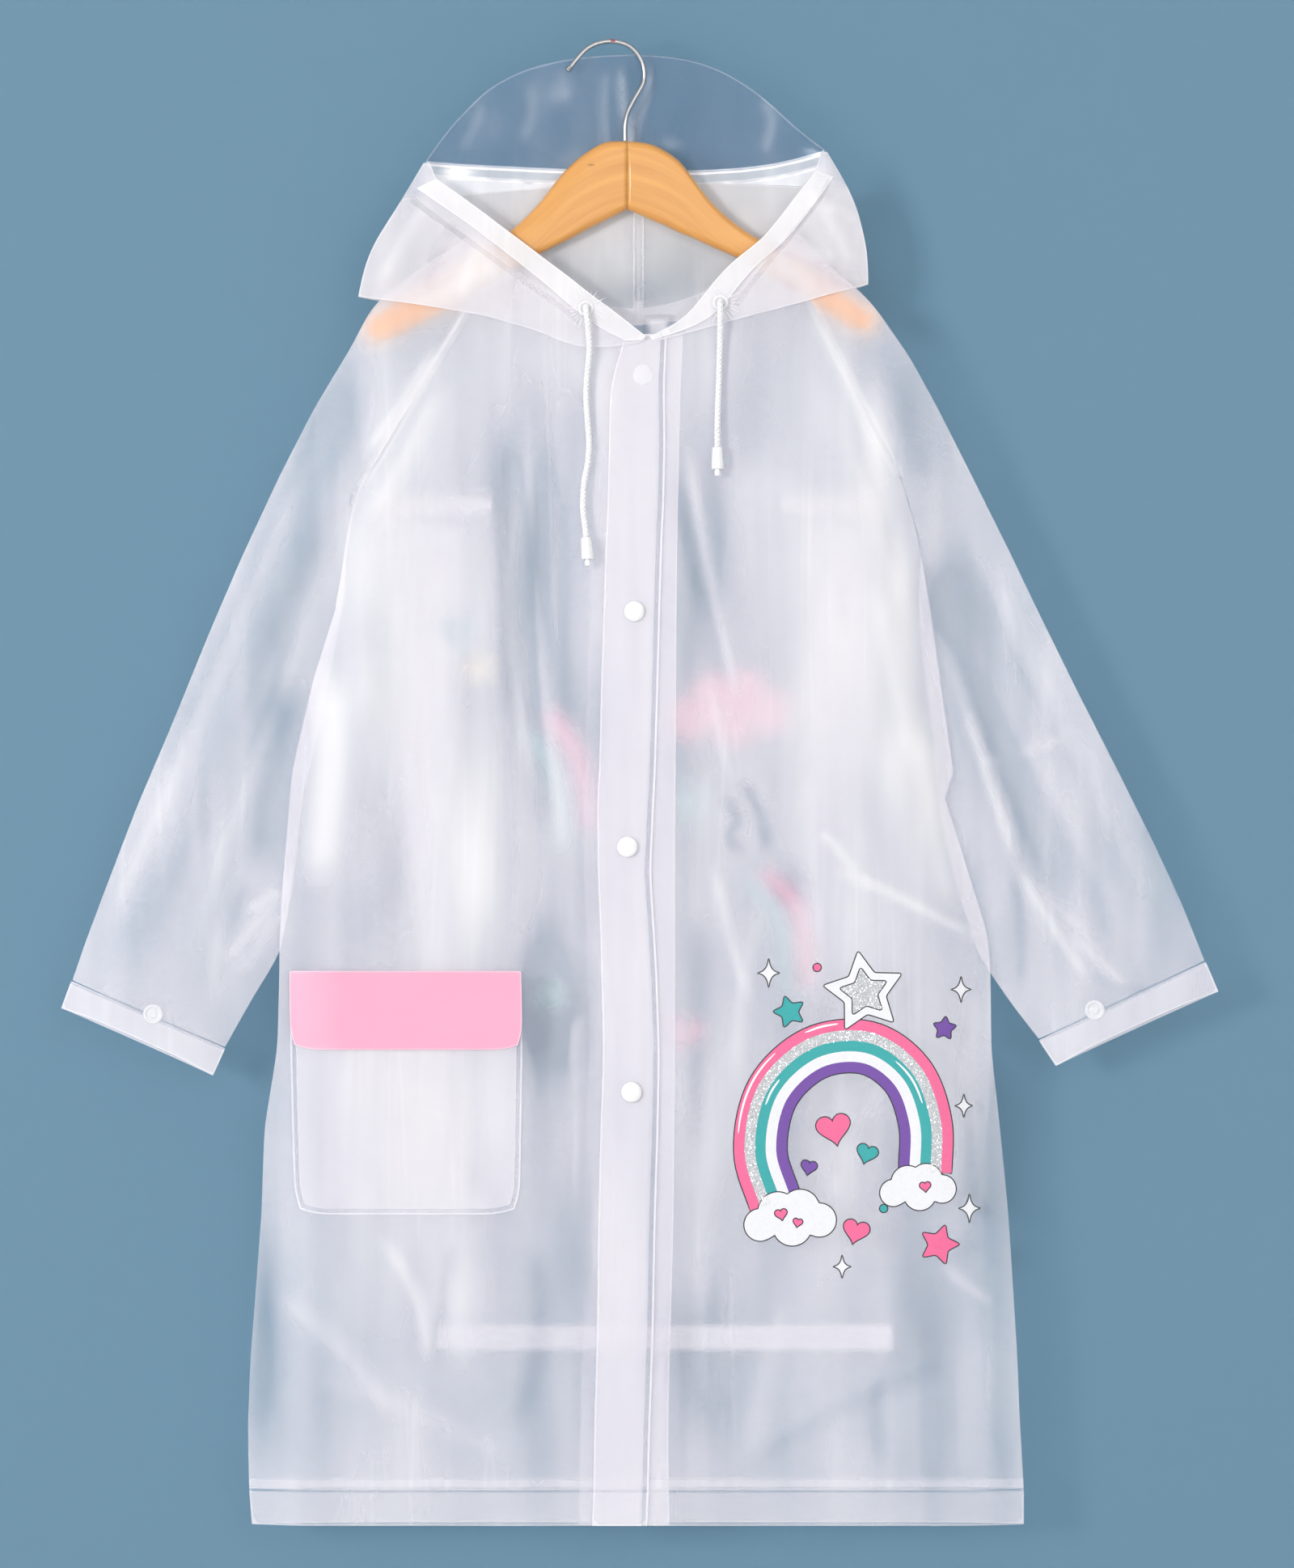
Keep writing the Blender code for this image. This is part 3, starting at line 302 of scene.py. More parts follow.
def build_film_group():
    tree, start, end = new_group(
        "film haze",
        [("Solid", FLOAT, 0.26), ("Cloud", FLOAT, 0.40), ("Creases", FLOAT, 0.12), ("Haze", FLOAT, 0.0),
         ("Haze gain", FLOAT, 0.3), ("Lines", FLOAT, 0.0), ("Pale start", FLOAT, 0.5)],
        [("Solid", FLOAT), ("Height", FLOAT), ("Pale", FLOAT)],
    )
    place = object_place(tree)
    cloud = stretched_noise(tree, place, 0.45, 11.0, 2.0)
    streak = stretched_noise(tree, place, 0.10, 46.0, 1.0)
    # Fine crumple ridges. They give small bumps, and where the clouds allow they are also painted as
    # highlights: paler, more solid film.
    ridges = 0.0
    for tall, scale, detail, sharp, share in ((0.07, 30.0, 0.5, 0.06, 0.7), (0.05, 75.0, 0.0, 0.08, 0.3)):
        off = maths(tree, "ABSOLUTE", minus(tree, stretched_noise(tree, place, tall, scale, detail), 0.5))
        ridges = plus(tree, ramp(tree, off, 0.0, sharp, share, 0.0), ridges)
    ridges = times(tree, ridges, ramp(tree, cloud, 0.42, 0.66, 0.10, 1.0))
    mist = times(tree, minus(tree, cloud, 0.5), start["Cloud"])
    mist = plus(tree, mist, times(tree, minus(tree, streak, 0.5), times(tree, start["Cloud"], 0.55)))
    painted_crumple_highlight = times(tree, ridges, start["Creases"])
    solid = plus(tree, plus(tree, start["Solid"], mist), times(tree, start["Haze"], start["Haze gain"]))
    solid = plus(tree, plus(tree, solid, painted_crumple_highlight), start["Lines"])
    pale = plus(tree, times(tree, start["Haze"], 0.6), start["Lines"])
    pale = plus(tree, plus(tree, pale, times(tree, mist, 1.6)), painted_crumple_highlight)
    results = {"Solid": node(tree, "ShaderNodeClamp", 0, None, Value=solid, Min=0.03, Max=0.98),
               "Height": plus(tree, times(tree, streak, 0.8), times(tree, ridges, 0.08)),
               "Pale": plus(tree, pale, start["Pale start"], True)}
    for label, socket in results.items():
        tree.links.new(socket, end[label])
    return tree


def build_line_group():
    """A line at a set distance from a seam. Its width wanders, as a hot bar's mark does."""
    tree, start, end = new_group("weld line", [("Distance", FLOAT, 99.0), ("At", FLOAT, 0.0),
                                               ("Half", FLOAT, 1.0), ("Soft", FLOAT, 0.5)],
                                 [("Mask", FLOAT)])
    wander = noise_at(tree, object_place(tree), 90.0, 0.0)
    half = times(tree, start["Half"], plus(tree, times(tree, wander, 0.6), 0.7))
    off = maths(tree, "ABSOLUTE", minus(tree, start["Distance"], start["At"]))
    tree.links.new(ramp(tree, off, half, plus(tree, half, start["Soft"]), 1.0, 0.0), end["Mask"])
    return tree


FILM = build_film_group()
WELD_LINE = build_line_group()
Line = namedtuple("Line", "of at half soft change")
# A painted highlight along each film's cut edge: the film there is paler and more solid.
EDGE_HIGHLIGHT = Line("edge", 0.3, 0.55, 0.5, 0.09)


def line_mask(tree, line):
    return use_group(tree, WELD_LINE, Distance=attribute(tree, line.of), At=line.at, Half=line.half,
                     Soft=line.soft)["Mask"]


def seen_share(tree, veil):
    """How much of a layer behind others counts. From its own side it has clean edges. From
    the far side the films in between blur it, so there its edge fades over the veil's width."""
    soft = ramp(tree, attribute(tree, "edge"), 0.0, veil, 0.0, 1.0)
    face = tree.nodes.new("ShaderNodeNewGeometry").outputs
    way = node(tree, "ShaderNodeSeparateXYZ", "Y", None, Vector=face["Normal"])
    inner = maths(tree, "LESS_THAN", way, 0.0)
    share = node(tree, "ShaderNodeMix", "Result", None, _0=inner, _2=1.0, _3=soft)
    return times(tree, share, minus(tree, 1.0, face["Backfacing"]))


def film_material(name, solid, dim=(0.82, 0.775, 0.86, 1), pale=(0.915, 0.90, 0.912, 1), roughness=0.42,
                  cloud=0.30, gain=0.3, lines=(EDGE_HIGHLIGHT,), bump=0.12, creases=0.07, veil=0.0, gloss=0.25,
                  glow=0.5, pale_start=0.5, shade=SHADE_SHARE):
    """Film with a given share of its surface solid. Each line names the attribute that holds a
    distance to a seam, in millimetres, and says how much more or less solid the film is there."""
    def look(tree):
        # painted glow of the wood behind: near the arms the film is painted orange and made more solid; glow
        # is its share of the colour
        warm = attribute(tree, "warm")
        total = times(tree, warm, 0.36)
        for line in lines:
            total = plus(tree, times(tree, line_mask(tree, line), line.change), total)
        out = use_group(tree, FILM, Solid=solid, Cloud=cloud, Creases=creases, Haze_gain=gain,
                        Haze=attribute(tree, "haze"), Lines=total, Pale_start=pale_start)
        cover = times(tree, out["Solid"], in_shadow(tree, shade))
        if veil:
            cover = times(tree, cover, seen_share(tree, veil))
        colour = mixed(tree, times(tree, warm, glow), mixed(tree, out["Pale"], dim, pale), PAINTED_WOOD_GLOW)
        return {"Alpha": cover, "Base Color": colour, "Normal": bumps_of(tree, out["Height"], bump, 0.0009)}
    return new_material(name, look, Roughness=roughness, Specular_IOR_Level=gloss)


LAP = Line("raglan", 0.0, 2.6, 2.4, 0.05)
HEM_LAP = Line("hem", 3.4, 2.6, 0.8, 0.08)
HEM_WELD = Line("hem", -1.4, 0.8, 0.7, -0.15)
film = film_material("frosted film", 0.27, gain=0.42, lines=(LAP, HEM_LAP))
film_back = film_material("frosted film, back", 0.19, gain=0.42, lines=(HEM_LAP,))
film_sleeve = film_material("frosted film, sleeve", 0.238, gain=0.42, lines=(LAP,), glow=0.62)
HOOD = dict(gain=0.4, glow=0.06, lines=(EDGE_HIGHLIGHT, Line("casing", 0.0, 1.5, 1.0, -0.16)))
film_hood = film_material("frosted film, hood", 0.33, **HOOD)
film_casing = film_material("frosted film, casing", 0.52, (0.89, 0.875, 0.895, 1), (0.93, 0.92, 0.93, 1),
                            **HOOD)
# The hood's inside is the same film in darker colours: painted shade deep in the hood.
film_hood_back_shaded = film_material("frosted film, hood back", 0.54, (0.67, 0.655, 0.67, 1),
                               (0.84, 0.825, 0.84, 1), gain=0.4, pale_start=0.45)
film_pleat = film_material("frosted film, folded", 0.46, cloud=0.4, lines=(), veil=34.0, gain=0.5)
film_bar = film_material("frosted film, bar", 0.12, cloud=0.1, gain=0.42, lines=(), veil=2.5, creases=0.03)
film_tape = film_material("frosted film, tape", 0.60, cloud=0.35, lines=(), veil=7.0, creases=0.03)
film_seam = film_material("frosted film, seam", 0.08, cloud=0.2, lines=(Line("edge", 0.4, 0.5, 0.5, 0.24),),
                          creases=0.03)
film_pocket = film_material("frosted film, pocket", 0.36,
                            lines=(EDGE_HIGHLIGHT, Line("edge", 2.8, 1.0, 0.7, -0.28)))
film_band = film_material("frosted film, doubled", 0.40, cloud=0.2, lines=(EDGE_HIGHLIGHT,), creases=0.05)
film_hem = film_material("frosted film, hem", 0.235, cloud=0.2, lines=(EDGE_HIGHLIGHT, HEM_WELD), creases=0.04)
# The placket's first edge line is a painted highlight along its edge; the other two are welds.
film_placket = film_material("frosted film, placket", 0.46, cloud=0.25, creases=0.04,
                             lines=(Line("edge", 0.3, 0.7, 0.6, 0.20),
                                    Line("placket", 0.0, 1.1, 0.8, -0.18),
                                    Line("hem", -1.4, 0.6, 0.7, -0.14)))
film_cuff = film_material("frosted film, cuff", 0.33, cloud=0.25, creases=0.04,
                          lines=(EDGE_HIGHLIGHT, Line("cuff", 0.0, 1.2, 0.9, -0.17)))
CLEAR = dict(shade=0.2, gloss=0.5, creases=0.05)
# The visor's first edge line is a painted highlight along its edge.
visor_clear = film_material("clear visor film", 0.30, (0.095, 0.165, 0.28, 1), (0.78, 0.82, 0.88, 1),
                            0.22, 0.20, 0.42, bump=0.2, pale_start=0.0, **CLEAR,
                            lines=(Line("edge", 0.3, 0.5, 0.4, 0.26), Line("seam", 0.6, 0.5, 0.5, 0.3)))
band_clear = film_material("clear band film", 0.34, (0.56, 0.58, 0.64, 1), (0.94, 0.93, 0.95, 1), 0.12,
                           0.40, 0.4, bump=0.15, pale_start=0.3, **CLEAR,
                           lines=(Line("seam", -1.4, 0.6, 0.5, 0.40), Line("seam", -9.0, 1.0, 0.8, 0.18),
                                  Line("seam", -17.0, 6.5, 2.0, 0.26)))

# %% [markdown]
# ## From a solid wall to a fine sheet
# A wall in the frame is a closed slab of large flat triangles. Its outer face has the true
# outline, but it is too coarse for folds. The outline is kept, cut into short steps, and a
# Delaunay triangulation fills it with even small triangles. Each point is then dropped back
# on the wall, and a few rounds of averaging turn the flat facets into one smooth curve.

# %% Sheets
FACES_OUT = 0.3
CORNER = math.radians(24)
HEX_ROW = 0.866


def outer_wall(name, side, middle=None):
    """The faces of a wall that look out, towards one side, as a bmesh."""
    bm = bmesh.new()
    bm.from_mesh(bpy.data.objects[name].data)
    bmesh.ops.remove_doubles(bm, verts=bm.verts, dist=1e-6)
    drop = []
    for face in bm.faces:
        inner = middle is not None and (face.calc_center_median().y - middle) * side < 0
        if face.normal.y * side < FACES_OUT or inner:
            drop.append(face)
    bmesh.ops.delete(bm, geom=drop, context="FACES")
    islands = islands_of(bm)
    keep = max(islands, key=lambda faces: sum(f.calc_area() for f in faces))
    rest = [f for faces in islands if faces is not keep for f in faces]
    bmesh.ops.delete(bm, geom=rest, context="FACES")
    return bm


def islands_of(bm):
    """Groups of faces that are joined along edges."""
    left, islands = set(bm.faces), []
    while left:
        group = [left.pop()]
        for face in group:
            for near in {f for edge in face.edges for f in edge.link_faces} & left:
                left.remove(near)
                group.append(near)
        islands.append(group)
    return islands


def outline_of(bm):
    """The longest loop of open edges, as points in order, from the one that is furthest left."""
    open_loops = {edge.link_loops[0] for edge in bm.edges if len(edge.link_faces) == 1}
    best = []
    while open_loops:
        loop = min(open_loops, key=lambda open_loop: tuple(open_loop.vert.co))
        points = []
        while loop in open_loops:
            open_loops.remove(loop)
            points.append(loop.vert.co.copy())
            loop = loop.link_loop_next
            while len(loop.edge.link_faces) > 1:
                loop = loop.link_loop_radial_next.link_loop_next
        if len(points) > len(best):
            best = points
    return best


def fine_outline(points, step):
    """The outline in short steps, with its slight bends smoothed and its corners kept."""
    fine, fixed = [], []
    count = len(points)
    for i, here in enumerate(points):
        ahead, behind = points[(i + 1) % count] - here, here - points[i - 1]
        corner = ahead.length > 0 and behind.length > 0 and ahead.angle(behind) > CORNER
        parts = max(1, round(ahead.length / step))
        for k in range(parts):
            fine.append(here + ahead * (k / parts))
            fixed.append(corner and k == 0)
    line = np.array(fine)
    held = np.array(fixed)[:, None]
    for _ in range(12):
        near = (np.roll(line, 1, 0) + np.roll(line, -1, 0)) / 2
        line = np.where(held, line, line * 0.5 + near * 0.5)
    return line


def inside(line, points):
    """Which 2D points lie inside a closed line."""
    x, z = points[:, 0], points[:, 1]
    result = np.zeros(len(points), bool)
    for (xa, za), (xb, zb) in zip(line, np.roll(line, -1, 0)):
        if za == zb:
            continue
        crosses = (za > z) != (zb > z)
        result ^= crosses & (x < (xb - xa) * (z - za) / (zb - za) + xa)
    return result


def away_from(line, points, closed=False):
    """Distance from 2D points to a line, and how far along the line the nearest spot is."""
    ends = np.roll(line, -1, 0) if closed else line[1:]
    starts = line if closed else line[:-1]
    lengths = np.hypot(*(ends - starts).T)
    before = np.concatenate(([0.0], np.cumsum(lengths)))
    best = np.full(len(points), 1e9)
    along = np.zeros(len(points))
    turn = np.ones(len(points))
    for a, b, size, done in zip(starts, ends, lengths, before):
        if size < 1e-9:
            continue
        run = (b - a) / size
        t = np.clip((points - a) @ run, 0, size)
        gap = points - a - t[:, None] * run
        far = np.hypot(gap[:, 0], gap[:, 1])
        nearer = far < best
        best = np.where(nearer, far, best)
        along = np.where(nearer, (done + t) / max(before[-1], 1e-9), along)
        turn = np.where(nearer, np.sign(gap[:, 0] * run[1] - gap[:, 1] * run[0]), turn)
    return best, along, turn


def hex_points(line, step):
    """Evenly spaced points inside an outline, clear of its edge."""
    low, high = line.min(0), line.max(0)
    rows = np.arange(low[1] + step / 2, high[1], step * HEX_ROW)
    grid = []
    for k, z in enumerate(rows):
        xs = np.arange(low[0] + (k % 2) * step / 2, high[0], step)
        grid.append(np.column_stack((xs, np.full(len(xs), z))))
    grid = np.concatenate(grid)
    grid = grid[inside(line, grid)]
    return grid[away_from(line, grid, True)[0] > step * 0.55]


def fill(line, step):
    """Even triangles inside an outline: their points, outline first, and the triangles."""
    inner = hex_points(line, step)
    points = [Vector(p) for p in np.concatenate((line, inner))]
    loop = list(range(len(line)))
    edges = [(i, (i + 1) % len(loop)) for i in loop]
    out = delaunay_2d_cdt(points, edges, [loop], 1, 1e-7)
    return np.array([tuple(v) for v in out[0]]), [list(f) for f in out[2]]


def drop_on(tree, flat, side):
    """Y of a surface under each 2D point, seen from one side."""
    found = np.zeros(len(flat))
    for i, (x, z) in enumerate(flat):
        hit = tree.ray_cast(Vector((x, side * 0.2, z)), Vector((0, -side, 0)))[0]
        if hit is None:
            hit = tree.find_nearest(Vector((x, 0, z)))[0]
        found[i] = hit.y
    return found


def averaged(values, faces, held, rounds):
    """Values smoothed over a mesh, while the held ones stay."""
    tri = np.array(faces)
    a = np.concatenate((tri[:, 0], tri[:, 1], tri[:, 2]))
    b = np.concatenate((tri[:, 1], tri[:, 2], tri[:, 0]))
    count = np.maximum(np.bincount(a, minlength=len(values)) + np.bincount(b, minlength=len(values)), 1)
    for _ in range(rounds):
        total = np.bincount(a, values[b], len(values)) + np.bincount(b, values[a], len(values))
        values = np.where(held, values, total / count)
    return values


# %% [markdown]
# ## Folds
# Film folds more sharply than cloth, and no two folds are alike. Each fold is one row:
# the line it follows, how wide it is on each side, how high it stands, and how much haze it
# brings. That haze is partly the film's own whitening and partly painted light and shade: a
# ridge painted paler, a trough darker. All pieces of one layer share that layer's folds, so
# that a pocket bends with the panel it is welded to. A fold fades where the two layers of
# the coat come together.

# %% Fold tables
NARROWEST, FOLD_END = 4.4, 0.24
Fold = namedtuple("Fold", "path near far height haze")


def table(kind, rows):
    return [kind(*row) for row in rows]


FRONT_FOLDS = table(Fold, [
    ([(-84, -232), (-78, -330), (-66, -420), (-58, -500), (-50, -612)], 9, 14, -2.6, -0.45),
    ([(-62, -250), (-58, -360), (-50, -460), (-40, -540), (-36, -600)], 4, 7, 1.8, 0.45),
    ([(-78, -380), (-66, -480), (-52, -560)], 3, 5, 1.3, 0.40),
    ([(-40, -300), (-38, -420), (-30, -520)], 6, 10, -1.2, -0.25),
    ([(43, -296), (58, -380), (70, -440), (84, -495)], 4, 9, -1.8, -0.22),
    ([(52, -280), (66, -360), (80, -430), (92, -480)], 3, 5, 1.4, 0.45),
    ([(62, -392), (72, -452), (78, -500), (88, -545)], 2.2, 3.5, 1.1, 0.25),
    ([(78, -542), (90, -560), (84, -574), (98, -589)], 3, 4, 1.3, -0.35),
    ([(92, -530), (106, -556), (113, -589)], 3, 5, -1.4, -0.45),
    ([(72, -589), (84, -640), (101, -700)], 3, 6, 1.3, 0.30),
    ([(158, -596), (196, -612), (232, -630), (271, -649)], 2.2, 4, 1.4, 0.40),
    ([(148, -568), (164, -584), (179, -604)], 2.2, 3.5, 1.1, 0.30),
    ([(-24, -700), (-30, -735), (-24, -757)], 4, 6, 1.2, 0.30),
    ([(-48, -680), (-36, -730), (-24, -757)], 5, 8, -1.4, -0.30),
    ([(-168, -858), (-140, -910), (-130, -963)], 3, 6, 1.2, 0.35),
    ([(-115, -860), (-122, -915), (-130, -963)], 4, 7, -1.1, -0.25),
    ([(236, -881), (262, -902), (288, -916)], 2.4, 4, 1.1, 0.30),
    ([(60, -620), (64, -720), (58, -820)], 8, 14, -1.4, -0.25),
    ([(110, -600), (96, -680), (86, -760)], 6, 9, 1.1, 0.20),
    ([(-180, -420), (-172, -520), (-178, -640)], 12, 18, 1.6, 0.30),
    ([(190, -380), (206, -460), (224, -540)], 8, 12, 1.6, 0.25),
    ([(170, -270), (196, -330), (214, -400)], 5, 9, -1.2, -0.10),
    ([(-120, -240), (-150, -300), (-178, -350)], 5, 8, 1.0, 0.25),
    ([(-100, -700), (-96, -790), (-104, -860)], 6, 10, -0.9, -0.15),
    ([(-252, -900), (-200, -940), (-150, -1000)], 6, 10, 1.1, 0.22),
    ([(-60, -860), (-52, -930), (-70, -1010)], 7, 12, -1.2, -0.22),
    ([(130, -900), (110, -960), (96, -1030)], 7, 11, 1.0, 0.20),
    ([(210, -930), (190, -985), (196, -1036)], 6, 10, -1.0, -0.20),
])
# Rows with no height only paint bands: painted shade down the sleeves' outer parts and along the coat's
# right edge, and a few bands of painted light.
PAINTED_LIGHT_AND_SHADE = table(Fold, [
    ([(-176, -205), (-192, -245), (-216, -300), (-245, -370), (-288, -460), (-330, -560)],
         14, 22, 0.0, -0.60),
    ([(-236, -450), (-246, -540), (-258, -610)], 14, 18, 0.0, -0.65),
    ([(-262, -430), (-278, -500), (-300, -570)], 8, 10, 0.0, 0.20),
    ([(-206, -440), (-203, -520), (-214, -620)], 14, 14, 0.0, 0.70),
    ([(184, -196), (208, -262), (232, -330)], 12, 16, 0.0, -0.30),
    ([(232, -350), (250, -425), (288, -530), (338, -645)], 18, 26, 0.0, -0.75),
    ([(294, -690), (282, -800), (294, -900), (298, -1030)], 22, 22, 0.0, -0.80),
    ([(360, -480), (395, -560), (425, -640)], 10, 14, 0.0, -0.45),
    ([(-290, -500), (-325, -570), (-360, -680)], 16, 20, 0.0, -0.25),
    ([(218, -480), (232, -560), (246, -640)], 9, 9, 0.0, 0.40),
])
SLEEVE_FRONT_FOLDS = table(Fold, [
    ([(230, -400), (268, -520), (320, -668)], 5, 10, 0.8, 0.35),
    ([(262, -522), (300, -512), (345, -498)], 4.4, 4.4, 0.6, 0.22),
    ([(142, -190), (168, -240), (200, -312)], 4.4, 7, 1.0, 0.40),
    ([(-124, -216), (-150, -258), (-180, -302)], 4.4, 8, 1.0, 0.45),
    ([(-196, -248), (-262, -400), (-330, -560), (-376, -665)], 6, 10, 1.2, 0.30),
    ([(-188, -300), (-240, -420), (-300, -560), (-344, -680)], 10, 14, -1.5, -0.30),
    ([(-205, -360), (-236, -460), (-280, -580), (-312, -690)], 5, 9, 1.0, 0.25),
    ([(-267, -629), (-254, -622), (-241, -609)], 2.2, 4, 1.1, 0.30),
    ([(-262, -600), (-276, -640), (-284, -690)], 4, 7, -1.0, -0.20),
    ([(253, -472), (272, -530), (292, -594)], 3, 6, 1.4, 0.40),
    ([(292, -594), (320, -640), (350, -685)], 2.2, 4, 1.3, 0.35),
    ([(292, -594), (296, -640), (297, -694)], 2.2, 4, -1.1, -0.25),
    ([(230, -300), (290, -430), (360, -560), (410, -656)], 9, 14, -1.2, -0.25),
    ([(216, -330), (262, -440), (330, -560), (384, -668)], 6, 9, 1.0, 0.22),
    ([(330, -640), (352, -664), (380, -690)], 2.4, 4, 1.0, 0.25),
    ([(346, -668), (364, -682), (396, -684)], 2.2, 3.5, -0.9, -0.20),
])
BACK_FOLDS = table(Fold, [
    ([(-60, -250), (-70, -400), (-62, -560), (-70, -700)], 10, 16, 1.8, 0.30),
    ([(40, -260), (52, -420), (46, -580)], 8, 14, -1.4, -0.25),
    ([(-120, -240), (-160, -330), (-190, -420)], 6, 10, 1.2, 0.25),
    ([(150, -240), (186, -330), (212, -410)], 6, 10, 1.2, 0.25),
    ([(-30, -640), (20, -700), (60, -800)], 5, 9, 1.3, 0.25),
    ([(-190, -760), (-120, -800), (-60, -870)], 4, 8, -1.2, -0.22),
    ([(240, -700), (190, -760), (150, -850)], 4, 8, 1.2, 0.25),
    ([(-226, -960), (-150, -990), (-60, -1030)], 5, 9, 1.1, 0.22),
    ([(250, -950), (160, -990), (90, -1035)], 6, 9, -1.1, -0.22),
    ([(10, -880), (16, -960), (6, -1040)], 7, 12, 1.1, 0.22),
    ([(-200, -260), (-262, -400), (-330, -560), (-378, -668)], 7, 12, 1.2, 0.28),
    ([(-210, -380), (-262, -520), (-310, -690)], 6, 10, -1.2, -0.25),
    ([(232, -300), (300, -440), (370, -580), (414, -660)], 7, 12, 1.2, 0.28),
    ([(244, -460), (290, -580), (340, -700)], 6, 10, -1.2, -0.25),
    ([(-234, -604), (-256, -632), (-284, -668)], 4.4, 5, 1.2, 0.50),
    ([(-236, -624), (-252, -646), (-272, -676)], 4.4, 5, -0.9, 0.35),
    ([(300, -610), (340, -640), (366, -690)], 3, 5, 1.0, 0.25),
])
# The first row has no height and only paints a band of shade on the hood's right side.
HOOD_FOLDS = table(Fold, [
    ([(120, -130), (155, -175), (192, -185)], 20, 16, 0.0, -0.50),
    ([(-128, -108), (-150, -140), (-172, -180)], 5, 8, 1.1, 0.30),
    ([(-110, -122), (-128, -160), (-136, -186)], 4, 7, -0.9, -0.25),
    ([(-90, -138), (-104, -164), (-110, -192)], 4, 7, 1.0, 0.30),
    ([(-60, -158), (-72, -178), (-74, -200)], 4, 6, -0.8, -0.20),
    ([(140, -104), (160, -132), (178, -166)], 5, 8, 1.1, 0.35),
    ([(118, -138), (140, -152), (168, -156)], 3, 6, 1.0, 0.35),
    ([(108, -150), (122, -170), (140, -182)], 4, 7, -0.9, -0.25),
    ([(150, -120), (166, -120), (178, -132)], 2.4, 4, 0.9, 0.30),
])
HOOD_BACK_FOLDS = table(Fold, [
    ([(-140, -118), (-120, -150), (-124, -184)], 5, 9, 1.2, 0.25),
    ([(-60, -110), (-40, -150), (-46, -190)], 6, 10, -1.0, -0.22),
    ([(90, -112), (104, -150), (98, -186)], 6, 10, 1.2, 0.25),
    ([(150, -112), (160, -140), (150, -172)], 4, 8, -0.9, -0.2),
])
ARM_LINES = [[(-92, -162), (-120, -180), (-145, -193.5), (-170, -206)],
             [(106, -153), (132, -168), (155, -183), (182, -200)]]
Patch = namedtuple("Patch", "x z wide tall haze")
# Patches of haze: partly the film's own whitening, partly painted light and shade, such as the painted
# shadow along the coat's lower right edge.
FRONT_HAZE_LIGHT_AND_SHADE = table(Patch, [
    (-170, -420, 60, 130, 0.35), (180, -440, 55, 150, 0.30), (-40, -420, 36, 220, -0.30),
    (60, -760, 60, 120, -0.10), (-30, -700, 30, 120, -0.20), (-120, -770, 60, 60, 0.25),
    (0, -1000, 300, 60, -0.10), (-100, -250, 60, 60, 0.25), (-160, -560, 26, 75, -0.40),
    (-95, -420, 12, 80, 0.25), (-95, -605, 15, 60, 0.40), (-54, -352, 24, 85, -0.85),
    (-28, -440, 11, 100, 0.35), (-45, -570, 18, 30, 0.35), (-50, -695, 24, 50, -0.90),
    (60, -400, 20, 110, 0.10), (110, -320, 26, 24, 0.25), (190, -300, 14, 50, 0.55),
    (-26, -865, 17, 65, -0.65), (68, -945, 40, 60, -0.70), (-190, -900, 70, 90, 0.20),
    (80, -780, 26, 80, 0.30), (222, -540, 15, 70, 0.30), (-200, -275, 24, 46, -0.45),
    (60, -230, 40, 40, 0.20), (240, -960, 50, 90, -0.50),
    (125, -612, 18, 16, -0.45), (-20, -236, 14, 24, 0.30), (-112, -905, 14, 40, 0.45),
    (-281, -660, 12, 26, 0.35), (240, -395, 14, 34, -0.50), (214, -430, 12, 40, 0.35),
    (-48, -690, 14, 40, -0.20), (355, -610, 22, 50, -0.30),
    (208, -385, 9, 30, 0.45), (202, -525, 12, 40, 0.45),
    (-254, -950, 20, 90, -0.50), (288, -950, 14, 100, -0.55), (-100, -590, 18, 70, 0.45),
    (-72, -420, 9, 70, -0.55), (74, -370, 13, 70, -0.55), (300, -440, 16, 60, -0.40),
    (150, -260, 40, 40, 0.20), (-4, -250, 10, 40, 0.35),
    (397, -570, 12, 60, -0.80), (210, -965, 26, 50, 0.35), (65, -960, 14, 40, -0.25),
])


def profile(folds, flat):
    """Height and haze that a layer's folds give at 2D points, in millimetres. A fold is never
    narrower than the mesh can show, and it rises and sinks gently at its ends."""
    height, haze = np.zeros(len(flat)), np.zeros(len(flat))
    for fold in folds:
        line = np.array([tuple(p) for p in smooth_path(fold.path, 5)])
        reach = 3.2 * max(fold.near, fold.far)
        low, high = line.min(0) - reach, line.max(0) + reach
        near = np.all((flat > low) & (flat < high), axis=1)
        if not near.any():
            continue
        gap, along, turn = away_from(line, flat[near])
        width = np.maximum(np.where(turn > 0, fold.near, fold.far), NARROWEST)
        ends = smoothstep(along / FOLD_END) * smoothstep((1 - along) / FOLD_END)
        shape = np.exp(-(gap / width) ** 2) * ends
        height[near] += fold.height * shape
        haze[near] += fold.haze * shape
    return height, haze


def smooth_path(points, steps):
    """Points on a smooth curve through the given ones."""
    points = [Vector((*p, 0)) if len(p) == 2 else Vector(p) for p in points]
    size = 2 if all(p.z == 0 for p in points) else 3
    ends = [2 * points[0] - points[1]] + points + [2 * points[-1] - points[-2]]
    path = []
    for a, b, c, d in zip(ends, ends[1:], ends[2:], ends[3:]):
        path += interpolate_bezier(b, b + (c - a) / 6, c - (d - b) / 6, c, steps + 1)[:-1]
    path.append(points[-1])
    return [Vector(p[:2]) for p in path] if size == 2 else path


